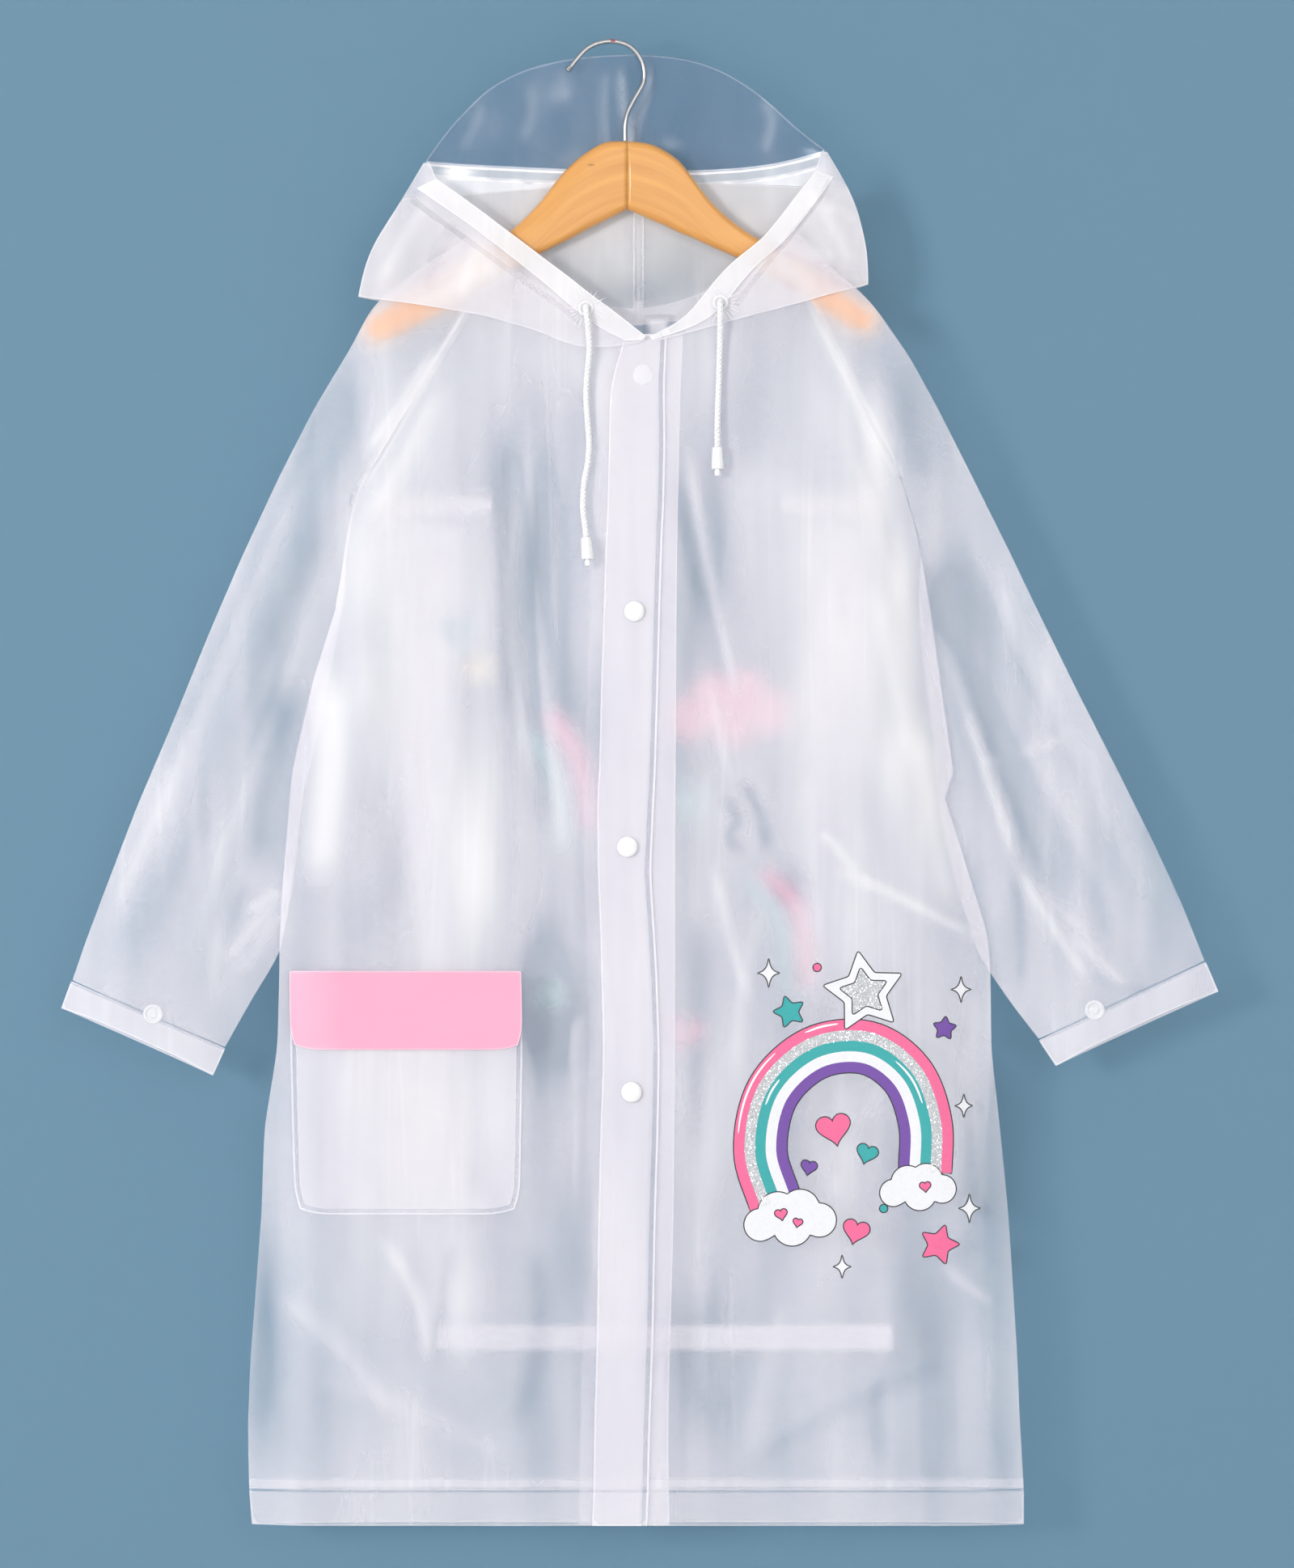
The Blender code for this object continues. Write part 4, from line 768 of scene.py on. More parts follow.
def ripples(flat, seed):
    """Slow uneven waves all over a sheet, mostly upright, as limp film has."""
    draw = random.Random(seed)
    height = np.zeros(len(flat))
    for _ in range(RIPPLES):
        length = draw.uniform(38, 120)
        lean = draw.uniform(-0.35, 0.35)
        phase = draw.uniform(0, math.tau)
        swing = draw.uniform(180, 420)
        shift = draw.uniform(0, math.tau)
        wave = np.sin(flat[:, 0] / length * math.tau + lean * flat[:, 1] / 40 + phase)
        height += wave * (0.6 + 0.4 * np.sin(flat[:, 1] / swing * math.tau + shift)) * RIPPLE_HEIGHT
    return height


GLOW_REACH = 12.5
RIPPLES, RIPPLE_HEIGHT = 9, 0.10


def from_arms(flat):
    return np.min([away_from(np.array(line, float), flat)[0] for line in ARM_LINES], axis=0)


def painted_glow_share(flat):
    """How much painted glow a film in front of a wooden arm takes up, from 0 to 1: the arm's orange, painted
    in place of the wood seen through the milky film.
    """
    return np.exp(-(from_arms(flat) / GLOW_REACH) ** 2)


def patches(table, flat):
    haze = np.zeros(len(flat))
    for p in table:
        haze += p.haze * np.exp(-((flat[:, 0] - p.x) / p.wide) ** 2 - ((flat[:, 1] - p.z) / p.tall) ** 2)
    return haze


# The visor's folds are real ridges; their haze paints highlight streaks along them.
VISOR_FOLDS = table(Fold, [
    ([(6, -8), (8, -40), (12, -70), (14, -92)], 1.6, 3.0, 1.0, 0.55),
    ([(-4, -9), (-5, -46), (-3, -90)], 1.2, 2.0, 0.8, 0.35),
    ([(28, -9), (27, -30), (18, -58), (14, -84)], 1.6, 3.0, 1.0, 0.45),
    ([(-60, -22), (-58, -48), (-66, -74)], 3, 6, 0.7, 0.28),
    ([(-92, -40), (-100, -60), (-112, -80)], 3, 5, 0.7, 0.22),
    ([(104, -38), (116, -54), (108, -82)], 2.6, 5, 0.8, 0.32),
    ([(-36, -14), (-34, -30), (-28, -42)], 5, 8, 0.5, 0.20),
])
# Painted shade: the hood's inside is greyer low in its middle.
HOOD_BACK_PAINTED_SHADE = [Patch(-24, -168, 30, 24, -0.3), Patch(52, -166, 26, 24, -0.5),
                     Patch(14, -182, 34, 14, -0.5)]
BACK_PATCHES = [Patch(-60, -370, 12, 80, -0.45), Patch(-42, -225, 30, 20, 0.30)]
VISOR_HIGHLIGHT_PATCHES = [Patch(-40, -36, 9, 9, 0.30), Patch(-84, -58, 10, 14, 0.16), Patch(44, -72, 9, 5, 0.32),
                 Patch(-112, -93, 9, 3, 2.0), Patch(-30, -84, 12, 8, 0.22)]
Layer = namedtuple("Layer", "side folds patches seed")
LAYERS = {
    "front": Layer(FRONT, FRONT_FOLDS + SLEEVE_FRONT_FOLDS + PAINTED_LIGHT_AND_SHADE, FRONT_HAZE_LIGHT_AND_SHADE, 3),
    "back": Layer(BACK, BACK_FOLDS, BACK_PATCHES, 7),
    "hood": Layer(FRONT, HOOD_FOLDS, [], 11),
    "hood back": Layer(BACK, HOOD_BACK_FOLDS, HOOD_BACK_PAINTED_SHADE, 13),
    "visor": Layer(BACK, VISOR_FOLDS, VISOR_HIGHLIGHT_PATCHES, 17),
}
print("folds:", sum(len(layer.folds) for layer in LAYERS.values()))

# %% [markdown]
# ## Seams
# Every seam on this coat is a weld, a strip where two films were melted together by a hot
# bar. The strip is a line at a set distance from the seam, so each sheet keeps its signed
# distance to the seams, and the material draws the strip from that number. The line stays
# sharp however coarse the mesh is.

# %% Seam lines
SEAMS = {
    "raglan": [
        [(-84, -157), (-108, -197), (-145, -260), (-182, -321)],
        [(208, -314), (169, -238), (142, -184), (123, -147)],
    ],
    "hem": [[(300, -1044.5), (26, -1044.5), (-266, -1044.5)]],
    "casing": [
        [(-146, -112), (-128, -126), (-100, -146), (-78, -162), (-58, -176), (-36, -192), (-22, -203)],
        [(88, -192), (98, -178), (112, -160), (130, -138), (148, -116), (158, -98)],
    ],
    "placket": [
        [(37.0, -205), (35.0, -247), (35.5, -290), (34.5, -337), (33.5, -352), (32, -400), (30.5, -460),
         (28.5, -527), (27.5, -546), (25, -600), (28, -645), (29.5, -671), (31.5, -727), (30.5, -785),
         (28.5, -846), (27, -925), (24.5, -1000), (23.5, -1044), (22.5, -1072)],
    ],
    "cuff": [[(-278, -728), (-332, -704.5), (-394, -677.5)], [(432, -662.5), (349, -702.5), (307, -722)]],
    "seam": [[(155, -78), (134, -83.6), (115, -87.6), (94, -90.2), (68, -91.8), (44, -92.3), (19, -92.2),
              (-8, -91.8), (-34, -91), (-60, -90), (-88, -88.6), (-110, -87.4), (-124, -86.6), (-136, -86)]],
}
FAR = 60.0


def seam_distance(seam, flat):
    """Signed distance to the nearest of a seam's lines, in millimetres."""
    best = np.full(len(flat), FAR)
    for line in SEAMS[seam]:
        gap, along, turn = away_from(np.array(line, float), flat)
        signed = np.where((along > 0.001) & (along < 0.999), gap * turn, FAR)
        best = np.where(np.abs(signed) < np.abs(best), signed, best)
    return best


# %% Building a sheet
def grow_shape(line, by):
    """The outline moved outwards, by one distance or by one for each point."""
    run = np.roll(line, -1, 0) - np.roll(line, 1, 0)
    run /= np.maximum(np.hypot(*run.T), 1e-6)[:, None]
    area = np.sum(line[:, 0] * np.roll(line[:, 1], -1) - np.roll(line[:, 0], -1) * line[:, 1])
    out = np.column_stack((run[:, 1], -run[:, 0])) * (1 if area > 0 else -1)
    return line + out * np.reshape(by, (-1, 1))


def tree_of(*names):
    """One search tree over several nodes of the frame."""
    verts, faces = [], []
    for name in names:
        data = bpy.data.objects[name].data
        start = len(verts)
        verts += [v.co.copy() for v in data.vertices]
        faces += [tuple(start + i for i in p.vertices) for p in data.polygons]
    return BVHTree.FromPolygons(verts, faces)


OPPOSITE = {
    "front": tree_of("back", "sleeve_left_back", "sleeve_right_back", "hem_back"),
    "back": tree_of("front_left", "front_right", "sleeve_left_front", "sleeve_right_front",
                    "hem_front_left", "hem_front_right"),
    "hood": tree_of("hood_left_back", "hood_right_back"),
    "hood back": tree_of("hood_left_front", "hood_right_front"),
}
# Panels that get the painted wood glow.
GLOWING_PANELS = ("hood_left_front", "hood_right_front", "sleeve_left_front", "sleeve_right_front")
LAP_OVER, ARMHOLE_LAP, ARMHOLE_REACH = 0.4, 1.3, 7.0
ARMHOLE = [(-84, -157), (-108, -197), (-145, -260), (-176, -308), (-186, -335), (-194, -374), (-200, -400)]
PINNED = [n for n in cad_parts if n.startswith(("snap", "cuff_snap", "eyelet"))]
ROOM_LEAST, ROOM_SPAN, ROOM_MOST = 3.0, 7.0, 12.0
PIN_CLEAR, PIN_SPAN = 8, 16


def middle_of(name):
    low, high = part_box(name)
    return (Vector(low) + Vector(high)) / 2


def room_behind(layer_name, flat, heights):
    """How far the coat's other layer is at each point of a sheet."""
    room = np.full(len(flat), ROOM_MOST)
    if layer_name not in OPPOSITE:
        return room
    side = LAYERS[layer_name].side
    for i, ((x, z), y) in enumerate(zip(flat, heights)):
        start = Vector((x, y - side * 1.2 * MM, z))
        hit = OPPOSITE[layer_name].ray_cast(start, Vector((0, -side, 0)), 0.03)[0]
        if hit is not None:
            room[i] = min(ROOM_MOST, abs(hit.y - y) / MM)
    return room


def smoothstep(t):
    t = np.clip(t, 0, 1)
    return t * t * (3 - 2 * t)


def fold_fade(layer_name, flat, heights, faces):
    """1 where folds may stand at full height, and 0 at a fitting or a closed seam."""
    fade = smoothstep((room_behind(layer_name, flat, heights) - ROOM_LEAST) / ROOM_SPAN)
    fade = averaged(fade, faces, np.zeros(len(flat), bool), 10)
    for name in PINNED:
        spot = middle_of(name)
        gap = np.hypot(flat[:, 0] - spot.x, flat[:, 1] - spot.z) / MM
        fade *= smoothstep((gap - PIN_CLEAR) / PIN_SPAN)
    return fade


ARM_COVER = {"front": -7.2, "hood": -8.6}
ARM_FLAT, ARM_SLOPE, ARM_BLEND = 9.0, 0.42, 1.2


def over_arm(flat, y, front):
    """Film lies over the hanger's arms: near an arm it stands at least this far forward, and
    further off it slopes back to its own depth."""
    tent = front + ARM_SLOPE * np.maximum(from_arms(flat) - ARM_FLAT, 0)
    return -np.logaddexp(-y / ARM_BLEND, -tent / ARM_BLEND) * ARM_BLEND


def sheet_mesh(name, source, layer_name, step, rounds, middle, seams, share, extra):
    """The bare sheet on the outer face of one wall, with its layer's folds."""
    layer = LAYERS[layer_name]
    bm = outer_wall(source, layer.side, middle)
    tree = BVHTree.FromBMesh(bm)
    line = fine_outline(outline_of(bm), step * MM)
    bm.free()
    lap = np.full(len(line), LAP_OVER)
    if layer_name in ("front", "back"):
        gap = away_from(np.array(ARMHOLE, float), line[:, [0, 2]] / MM)[0]
        lap += ARMHOLE_LAP * np.exp(-(gap / ARMHOLE_REACH) ** 4)
    edge = grow_shape(line[:, [0, 2]], lap * MM)
    flat, faces = fill(edge, step * MM)
    held = np.arange(len(flat)) < len(edge)
    y = drop_on(tree, flat, layer.side)
    y[:len(edge)] = line[:, 1]
    y = averaged(y, faces, held, rounds)
    spots = flat / MM
    height, haze = profile(layer.folds, spots)
    haze = haze + patches(list(layer.patches) + list(extra), spots)
    height = (height + ripples(spots, layer.seed)) * fold_fade(layer_name, flat, y, faces) * share
    y = y + layer.side * height * MM
    if layer_name in ARM_COVER:
        y = over_arm(spots, y / MM, ARM_COVER[layer_name]) * MM
    mesh = bpy.data.meshes.new(name)
    mesh.from_pydata([(x, h, z) for (x, z), h in zip(flat, y)], [], faces)
    if mesh.polygons[0].normal.y * layer.side < 0:
        mesh.flip_normals()
    warm = painted_glow_share(spots) if name[5:] in GLOWING_PANELS else np.zeros(len(flat))
    values = {"haze": haze, "edge": away_from(edge / MM, spots, True)[0], "warm": warm}
    for seam in SEAMS:
        values[seam] = seam_distance(seam, spots) if seam in seams else np.full(len(flat), FAR)
    for label, amount in values.items():
        keep_values(mesh, label, amount)
    mesh.shade_smooth()
    return mesh


def keep_values(mesh, name, values, kind="FLOAT", field="value"):
    """Stores a value or a colour for each point of a mesh."""
    data = mesh.attributes.new(name, kind, "POINT").data
    data.foreach_set(field, np.array(values, "f").ravel())


def cut_size(mesh):
    """The width and length of the smallest rectangle that a sheet could be cut from."""
    points = np.array([v.co[:] for v in mesh.vertices])[:, [0, 2]]
    best = None
    for angle in np.radians(np.arange(0, 180, 3)):
        turn = np.array(((math.cos(angle), -math.sin(angle)), (math.sin(angle), math.cos(angle))))
        span = np.ptp(points @ turn, axis=0)
        if best is None or span[0] * span[1] < best[0] * best[1]:
            best = tuple(span)
    return sorted(max(10, math.ceil(v / MM)) * MM for v in best)


CUTS = {}
RIM_ANGLE = math.radians(55)


def film_sheet(name, layer_name, material, slot, thick=0.3, seams=(), step=4.0, rounds=30, share=1.0,
               extra=()):
    """One panel of the coat: a fine sheet in place of its wall."""
    mesh = sheet_mesh("film_" + name, name, layer_name, step, rounds, None, seams, share, extra)
    dress_sheet(name, mesh, cut_size(mesh), thick, material, slot)


def dress_sheet(name, mesh, size, thick, material, slot):
    """Gives a mesh its wall and its finish, and states the size it is cut to."""
    width, length = size
    area = sum(p.area for p in mesh.polygons)
    obj = placed("film_" + name, mesh)
    thicken(obj, thick)
    finish(obj, material, slot, name)
    CUTS[name] = (round(width / MM), round(length / MM), round(area / MM / MM))


def thicken(obj, thick):
    """Gives a sheet its wall, and keeps the wall's rim sharp, so that the light doesn't bend
    at the sheet's edge."""
    wall = obj.modifiers.new("thickness", "SOLIDIFY")
    wall.thickness = thick * MM
    wall.offset = -1.0
    wall.use_even_offset = False
    depsgraph = bpy.context.evaluated_depsgraph_get()
    mesh = bpy.data.meshes.new_from_object(obj.evaluated_get(depsgraph), preserve_all_data_layers=True,
                                           depsgraph=depsgraph)
    obj.modifiers.remove(wall)
    mesh.set_sharp_from_angle(angle=RIM_ANGLE)
    mesh.name, obj.data = obj.data.name, mesh


def smooth_mesh(bm, name):
    """The smooth mesh that a bmesh holds. The bmesh is freed."""
    mesh = bpy.data.meshes.new(name)
    bm.to_mesh(mesh)
    bm.free()
    mesh.shade_smooth()
    return mesh


def finish(obj, material, slot, *nodes):
    obj.data.materials.clear()
    obj.data.materials.append(material)
    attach(obj, "root")
    if nodes:
        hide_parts(*nodes)
    return obj


# %% [markdown]
# ## Cutting out the coat
# Every panel goes through the same function. The table says which layer it lies in, which
# film it is made of and which seams cross it. The pleats behind are whitest near their
# bar, where the folded film lies flat on the front, so they get patches of their own.

# %% Panels
PLEAT_PATCHES = [Patch(-137, -345, 120, 4.5, -0.7), Patch(152, -345, 120, 4.5, -0.6),
                 Patch(-140, -480, 70, 150, 0.75), Patch(-140, -860, 80, 130, -0.9),
                 Patch(180, -430, 80, 110, 0.75), Patch(170, -720, 90, 130, -0.75),
                 Patch(170, -900, 90, 80, -0.75)]
BAR_PATCHES = [Patch(-137, -333.5, 140, 6.5, 1.7), Patch(152, -333.5, 140, 6.5, 1.7)]
BODY = ("raglan", "hem")
PLAIN_STEP, ARM_STEP, BAR_STEP = 4.0, 3.2, 2.5
PANELS = [
    ("front_left", "front", film, BODY), ("front_right", "front", film, BODY),
    ("back", "back", film_back, ("hem",)), ("pocket_bag", "front", film_pocket, ()),
]
for side in ("left", "right"):
    PANELS += [
        (f"sleeve_{side}_front", "front", film_sleeve, ("raglan",)),
        (f"sleeve_{side}_back", "back", film_back, ()),
        (f"hood_{side}_front", "hood", film_hood, ("casing",)),
        (f"hood_{side}_back", "hood back", film_hood_back_shaded, ()),
        (f"casing_{side}", "hood", film_casing, ("casing",)),
    ]
BANDS = [
    ("placket", "front", film_placket, ("placket", "hem")), ("facing_left", "front", film_back, ()),
    ("facing_right", "front", film_band, ()), ("hem_front_left", "front", film_hem, ("hem",)),
    ("hem_front_right", "front", film_hem, ("hem",)), ("hem_back", "back", film_hem, ("hem",)),
    ("pleat_bar_left", "back", film_bar, ()), ("pleat_bar_right", "back", film_bar, ()),
    ("back_tape", "back", film_tape, ()), ("back_tape_end", "back", film_tape, ()),
    ("hood_centre_tape", "hood back", film_seam, ()),
]
for name, layer_name, material, seams in PANELS:
    step = ARM_STEP if layer_name in ARM_COVER else PLAIN_STEP
    film_sheet(name, layer_name, material, "film", seams=seams, step=step)
for name in ("back_pleat_left", "back_pleat_right"):
    film_sheet(name, "back", film_pleat, "film", extra=PLEAT_PATCHES)
for name, layer_name, material, seams in BANDS:
    bar = name.startswith("pleat_bar")
    step, extra = (BAR_STEP, BAR_PATCHES) if bar else (PLAIN_STEP, ())
    film_sheet(name, layer_name, material, "band", thick=0.5, seams=seams, step=step, extra=extra)
print("film sheets:", len(CUTS))

# %% [markdown]
# ## Cuffs
# A cuff is a short flat tube, so it needs both of its faces. The same recipe makes each
# face, and the two are joined into one mesh along the folds at the sides.

# %% Cuffs
CUFF_MIDDLE = 7.5 * MM


def build_cuff(side):
    source = "cuff_" + side
    bm = bmesh.new()
    for layer_name in ("front", "back"):
        half = sheet_mesh("half", source, layer_name, 3.0, 12, CUFF_MIDDLE, ("cuff",), 0.6, ())
        bm.from_mesh(half)
    bmesh.ops.remove_doubles(bm, verts=bm.verts, dist=0.4 * MM)
    width, length = cut_size(half)
    dress_sheet(source, smooth_mesh(bm, "film_" + source), (width, 2 * length), 0.4, film_cuff, "band")


for side in ("left", "right"):
    build_cuff(side)

# %% [markdown]
# ## Visor and its band
# The visor is plain clear film, so it shows mostly by its highlights. Long soft ridges run
# up it, and each one catches a line of light, with a painted highlight streak along it as
# well. A few painted highlight spots and a painted line along its edge add to them. The band
# under it is clear too, between two welds.

# %% Visor
film_sheet("visor", "visor", visor_clear, "clear", seams=("seam",))
film_sheet("visor_band", "visor", band_clear, "clear", thick=0.4, seams=("seam",), share=0.3)

# %% [markdown]
# ## Pocket flap and label
# The flap is solid pink film, thicker than the rest, and very slightly blotchy, with a painted
# highlight along its edge. The label is a blank tab.

# %% Flap
def solid_film(name, colour, deep, highlight_colour):
    def look(tree):
        place = object_place(tree)
        blotch = noise_at(tree, place, 26.0, 4.0)
        # a painted highlight along the flap's edge, in a paler pink
        rim = line_mask(tree, Line("edge", 0.2, 0.4, 0.4, 0))
        height = plus(tree, times(tree, blotch, 0.9), times(tree, noise_at(tree, place, 1500.0, 1.0), 0.1))
        base = mixed(tree, blotch, deep, colour)
        return {"Base Color": mixed(tree, times(tree, rim, 0.35), base, highlight_colour),
                "Normal": bumps_of(tree, height, 0.3, 0.0008)}
    return new_material(name, look, Roughness=0.38)


pink_film = solid_film("pink film", (0.90, 0.385, 0.535, 1), (0.86, 0.355, 0.50, 1), (1.0, 0.86, 0.90, 1))
film_sheet("pocket_flap", "front", pink_film, "pink", thick=0.6, step=3.0)
film_sheet("neck_label", "front", film_tape, "white", thick=0.3, step=2.5, share=0.0)

# %% [markdown]
# ## Turned parts
# Snaps, eyelets, cord ends and the hook's bead are round, so each is a profile spun about
# its axis. The profile gives radius and height along the axis. Its ends close in a small
# flat face, so the solid has no open pole, unless the profile joins up with itself.

# %% Turning
def turned_mesh(name, profile, place, axis, sides=40, closed=False):
    """A profile of (radius, height) pairs spun about an axis, in millimetres."""
    turn = Vector(axis).normalized().to_track_quat("Z", "Y")
    bm = bmesh.new()
    loops = []
    for radius, height in profile:
        loop = []
        for k in range(sides):
            angle = math.tau * k / sides
            spoke = Vector((radius * math.cos(angle), radius * math.sin(angle), height)) * MM
            loop.append(bm.verts.new(Vector(place) + turn @ spoke))
        loops.append(loop)
    return skin(bm, loops, name, closed)


def skin(bm, loops, name, closed=False):
    """The mesh that joins loops of as many points each. Its ends are capped unless it closes."""
    for lower, upper in zip(loops, loops[1:] + loops[:1] if closed else loops[1:]):
        for i, here in enumerate(lower):
            j = (i + 1) % len(lower)
            bm.faces.new((here, lower[j], upper[j], upper[i]))
    if not closed:
        bm.faces.new(loops[0][::-1])
        bm.faces.new(loops[-1])
    bmesh.ops.recalc_face_normals(bm, faces=bm.faces)
    return smooth_mesh(bm, name)


def turned(name, *args, **options):
    return placed(name, turned_mesh(name, *args, **options))


def seat_of(source, sunk):
    """The middle of the back of a solid, moved a little to the front, in metres."""
    low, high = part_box(source)
    return Vector(((low[0] + high[0]) / 2, high[1] - sunk * MM, (low[2] + high[2]) / 2))


def rounded(profile, steps=4):
    """A profile with its corners rounded off, for a softer moulded edge."""
    points = [Vector((*p, 0)) for p in profile]
    out = [points[0]]
    for before, here, after in zip(points, points[1:], points[2:]):
        reach = min((here - before).length, (after - here).length) * 0.4
        a = here + (before - here).normalized() * reach
        b = here + (after - here).normalized() * reach
        for k in range(steps + 1):
            t = k / steps
            out.append(a.lerp(here, t).lerp(here.lerp(b, t), t))
    out.append(points[-1])
    return [(p.x, p.y) for p in out]


def moulded(name, colour, roughness, alpha=1.0, shade=1.0):
    """Moulded white plastic: slightly cloudy, with faint flow marks."""
    def look(tree):
        cloud = noise_at(tree, object_place(tree), 320.0, 3.0)
        made = {"Base Color": mixed(tree, cloud, [c * 0.93 for c in colour[:3]] + [1.0], colour),
                "Normal": bumps_of(tree, cloud, 0.15, 0.0003)}
        if alpha < 1:
            solid = plus(tree, times(tree, cloud, 0.12), alpha - 0.06)
            made["Alpha"] = times(tree, solid, in_shadow(tree, shade))
        return made
    return new_material(name, look, Roughness=roughness)


white_plastic = moulded("white plastic", (0.90, 0.895, 0.90, 1), 0.30)
milky_plastic = moulded("milky plastic", (0.84, 0.84, 0.87, 1), 0.26, 0.62, 0.3)
faint_plastic = moulded("faint plastic", (0.93, 0.93, 0.95, 1), 0.26, 0.26, 0.3)
eyelet_plastic = moulded("eyelet plastic", (0.92, 0.92, 0.94, 1), 0.34, 0.62, 0.3)

# %% [markdown]
# ## Snaps
# Four domed caps close the placket. The caps on the cuffs are milky, with a ring and a
# sunken middle. The top cap sits under the hood's edge. Each stands where its solid does.

# %% Snaps
CAP = [(6.6, 0.0), (7.4, 0.2), (7.5, 1.1), (7.0, 1.9), (5.6, 2.7), (3.6, 3.15), (1.6, 3.3), (0.4, 3.32)]
RING_CAP = [(6.6, 0.0), (7.2, 0.2), (7.25, 0.9), (6.6, 1.8), (5.2, 1.95), (4.6, 0.5), (3.3, 0.4),
            (2.8, 1.7), (1.7, 1.8), (0.7, 1.5), (0.3, 1.5)]
SNAPS = [("snap_1", CAP, faint_plastic, 0.3)]
SNAPS += [(f"snap_{number}", CAP, white_plastic, 0.3) for number in (2, 3, 4)]
SNAPS += [(f"cuff_snap_{side}", RING_CAP, milky_plastic, 0.2) for side in ("left", "right")]
for source, shape, plastic, sunk in SNAPS:
    cap = turned("cap_" + source, rounded(shape, 2), seat_of(source, sunk), (0, -1, 0))
    finish(cap, plastic, "white", source)

# %% [markdown]
# ## Eyelets
# Where each cord leaves the hood there is a flat welded ring, with short gathers that fan
# out from it. The gathers are all alike, so Geometry Nodes make one tapered rib and place
# it round the ring. The tree ends in plain mesh, and the modifier is taken off.

# %% Node trees for geometry
def new_geometry_tree(name, inputs):
    tree = bpy.data.node_groups.new(name, "GeometryNodeTree")
    tree.interface.new_socket("Geometry", in_out="INPUT", socket_type="NodeSocketGeometry")
    keys = {}
    for label, kind, value in inputs:
        socket = tree.interface.new_socket(label, in_out="INPUT", socket_type=kind)
        socket.default_value = value
        keys[label] = socket.identifier
    tree.interface.new_socket("Geometry", in_out="OUTPUT", socket_type="NodeSocketGeometry")
    start = tree.nodes.new("NodeGroupInput").outputs
    end = tree.nodes.new("NodeGroupOutput").inputs
    return tree, start, end, keys


def end_in_mesh(tree, geometry, material, end):
    real = node(tree, "GeometryNodeRealizeInstances", 0, None, Geometry=geometry)
    dressed = node(tree, "GeometryNodeSetMaterial", 0, None, Geometry=real)
    dressed.node.inputs["Material"].default_value = material
    tree.links.new(dressed, end["Geometry"])


def grown(name, obj, tree, keys, **values):
    """The plain mesh that a tree grows on an object, as a new object at the origin."""
    grow = obj.modifiers.new("grow", "NODES")
    grow.node_group = tree
    for label, value in values.items():
        grow[keys[label.replace("_", " ")]] = value
    depsgraph = bpy.context.evaluated_depsgraph_get()
    mesh = bpy.data.meshes.new_from_object(obj.evaluated_get(depsgraph), depsgraph=depsgraph)
    mesh.name = name
    obj.modifiers.remove(grow)
    bpy.data.objects.remove(obj)
    return placed(name, mesh)


def joined(tree, *parts):
    both = tree.nodes.new("GeometryNodeJoinGeometry")
    for part in parts:
        tree.links.new(part, both.inputs[0])
    return both.outputs[0]


def scaled(tree, vector, by):
    return node(tree, "ShaderNodeVectorMath", "Vector", {"operation": "SCALE"}, _0=vector, Scale=by)


def ring_of(tree, points, radius):
    return node(tree, "GeometryNodeCurvePrimitiveCircle", "Curve", {"mode": "RADIUS"}, Resolution=points,
                Radius=radius)


# %% Eyelets
def build_rib_tree(material):
    """Tapered ribs that fan out from a centre, added to the ring."""
    tree, start, end, keys = new_geometry_tree("fan of gathers", [
        ("Centre", VECTOR, (0, 0, 0)), ("Ribs", INTEGER, 18), ("Start radius", FLOAT, 0.005),
        ("Rib length", FLOAT, 0.004), ("Rib radius", FLOAT, 0.0004)])
    circle = ring_of(tree, start["Ribs"], start["Start radius"])
    points = node(tree, "GeometryNodeCurveToPoints", "Points", {"mode": "EVALUATED"}, Curve=circle)
    rib = node(tree, "GeometryNodeMeshCone", "Mesh", {"fill_type": "NGON"}, Vertices=6,
               Radius_Top=0.00008, Radius_Bottom=start["Rib radius"], Depth=start["Rib length"])
    away = node(tree, "GeometryNodeInputPosition")
    uneven = node(tree, "FunctionNodeRandomValue", 1, {"data_type": "FLOAT"}, Seed=4)
    uneven.node.inputs[2].default_value = 0.55
    uneven.node.inputs[3].default_value = 1.25
    aim = node(tree, "FunctionNodeAlignRotationToVector", 0, {"axis": "Z"}, Vector=away)
    fan = node(tree, "GeometryNodeInstanceOnPoints", 0, None, Points=points, Instance=rib,
               Rotation=aim, Scale=uneven)
    stood = node(tree, "GeometryNodeTransform", 0, None, Geometry=fan, Translation=start["Centre"],
                 Rotation=(math.pi / 2, 0, 0))
    end_in_mesh(tree, joined(tree, stood, start["Geometry"]), material, end)
    return tree, keys


rib_tree, rib_keys = build_rib_tree(eyelet_plastic)
EYELET_RING = [(6.0, 0.0), (5.7, 0.55), (4.9, 0.8), (4.1, 0.7), (3.5, 0.35), (3.5, 0.0)]
for side in ("left", "right"):
    source = "eyelet_" + side
    spot = seat_of(source, 0.6)
    ring = turned("ring_" + side, EYELET_RING, spot, (0, -1, 0), 36, closed=True)
    eyelet = grown("gathered_" + source, ring, rib_tree, rib_keys, Centre=spot + Vector((0, -0.0003, 0)),
                   Ribs=26, Start_radius=0.0082, Rib_length=0.0068, Rib_radius=0.00042)
    finish(eyelet, eyelet_plastic, "white", source)
    print(source, "faces:", len(eyelet.data.polygons))

# %% [markdown]
# ## Cords
# Each drawstring is a round braid about 5 mm thick, with a moulded end and a little of
# the cord's core below it. A braid follows a rule: half of the strands turn one way, half
# the other, and each goes over and under the ones it meets. So Geometry Nodes copy the
# cord's centre line once for each strand and push the copies out into helices.

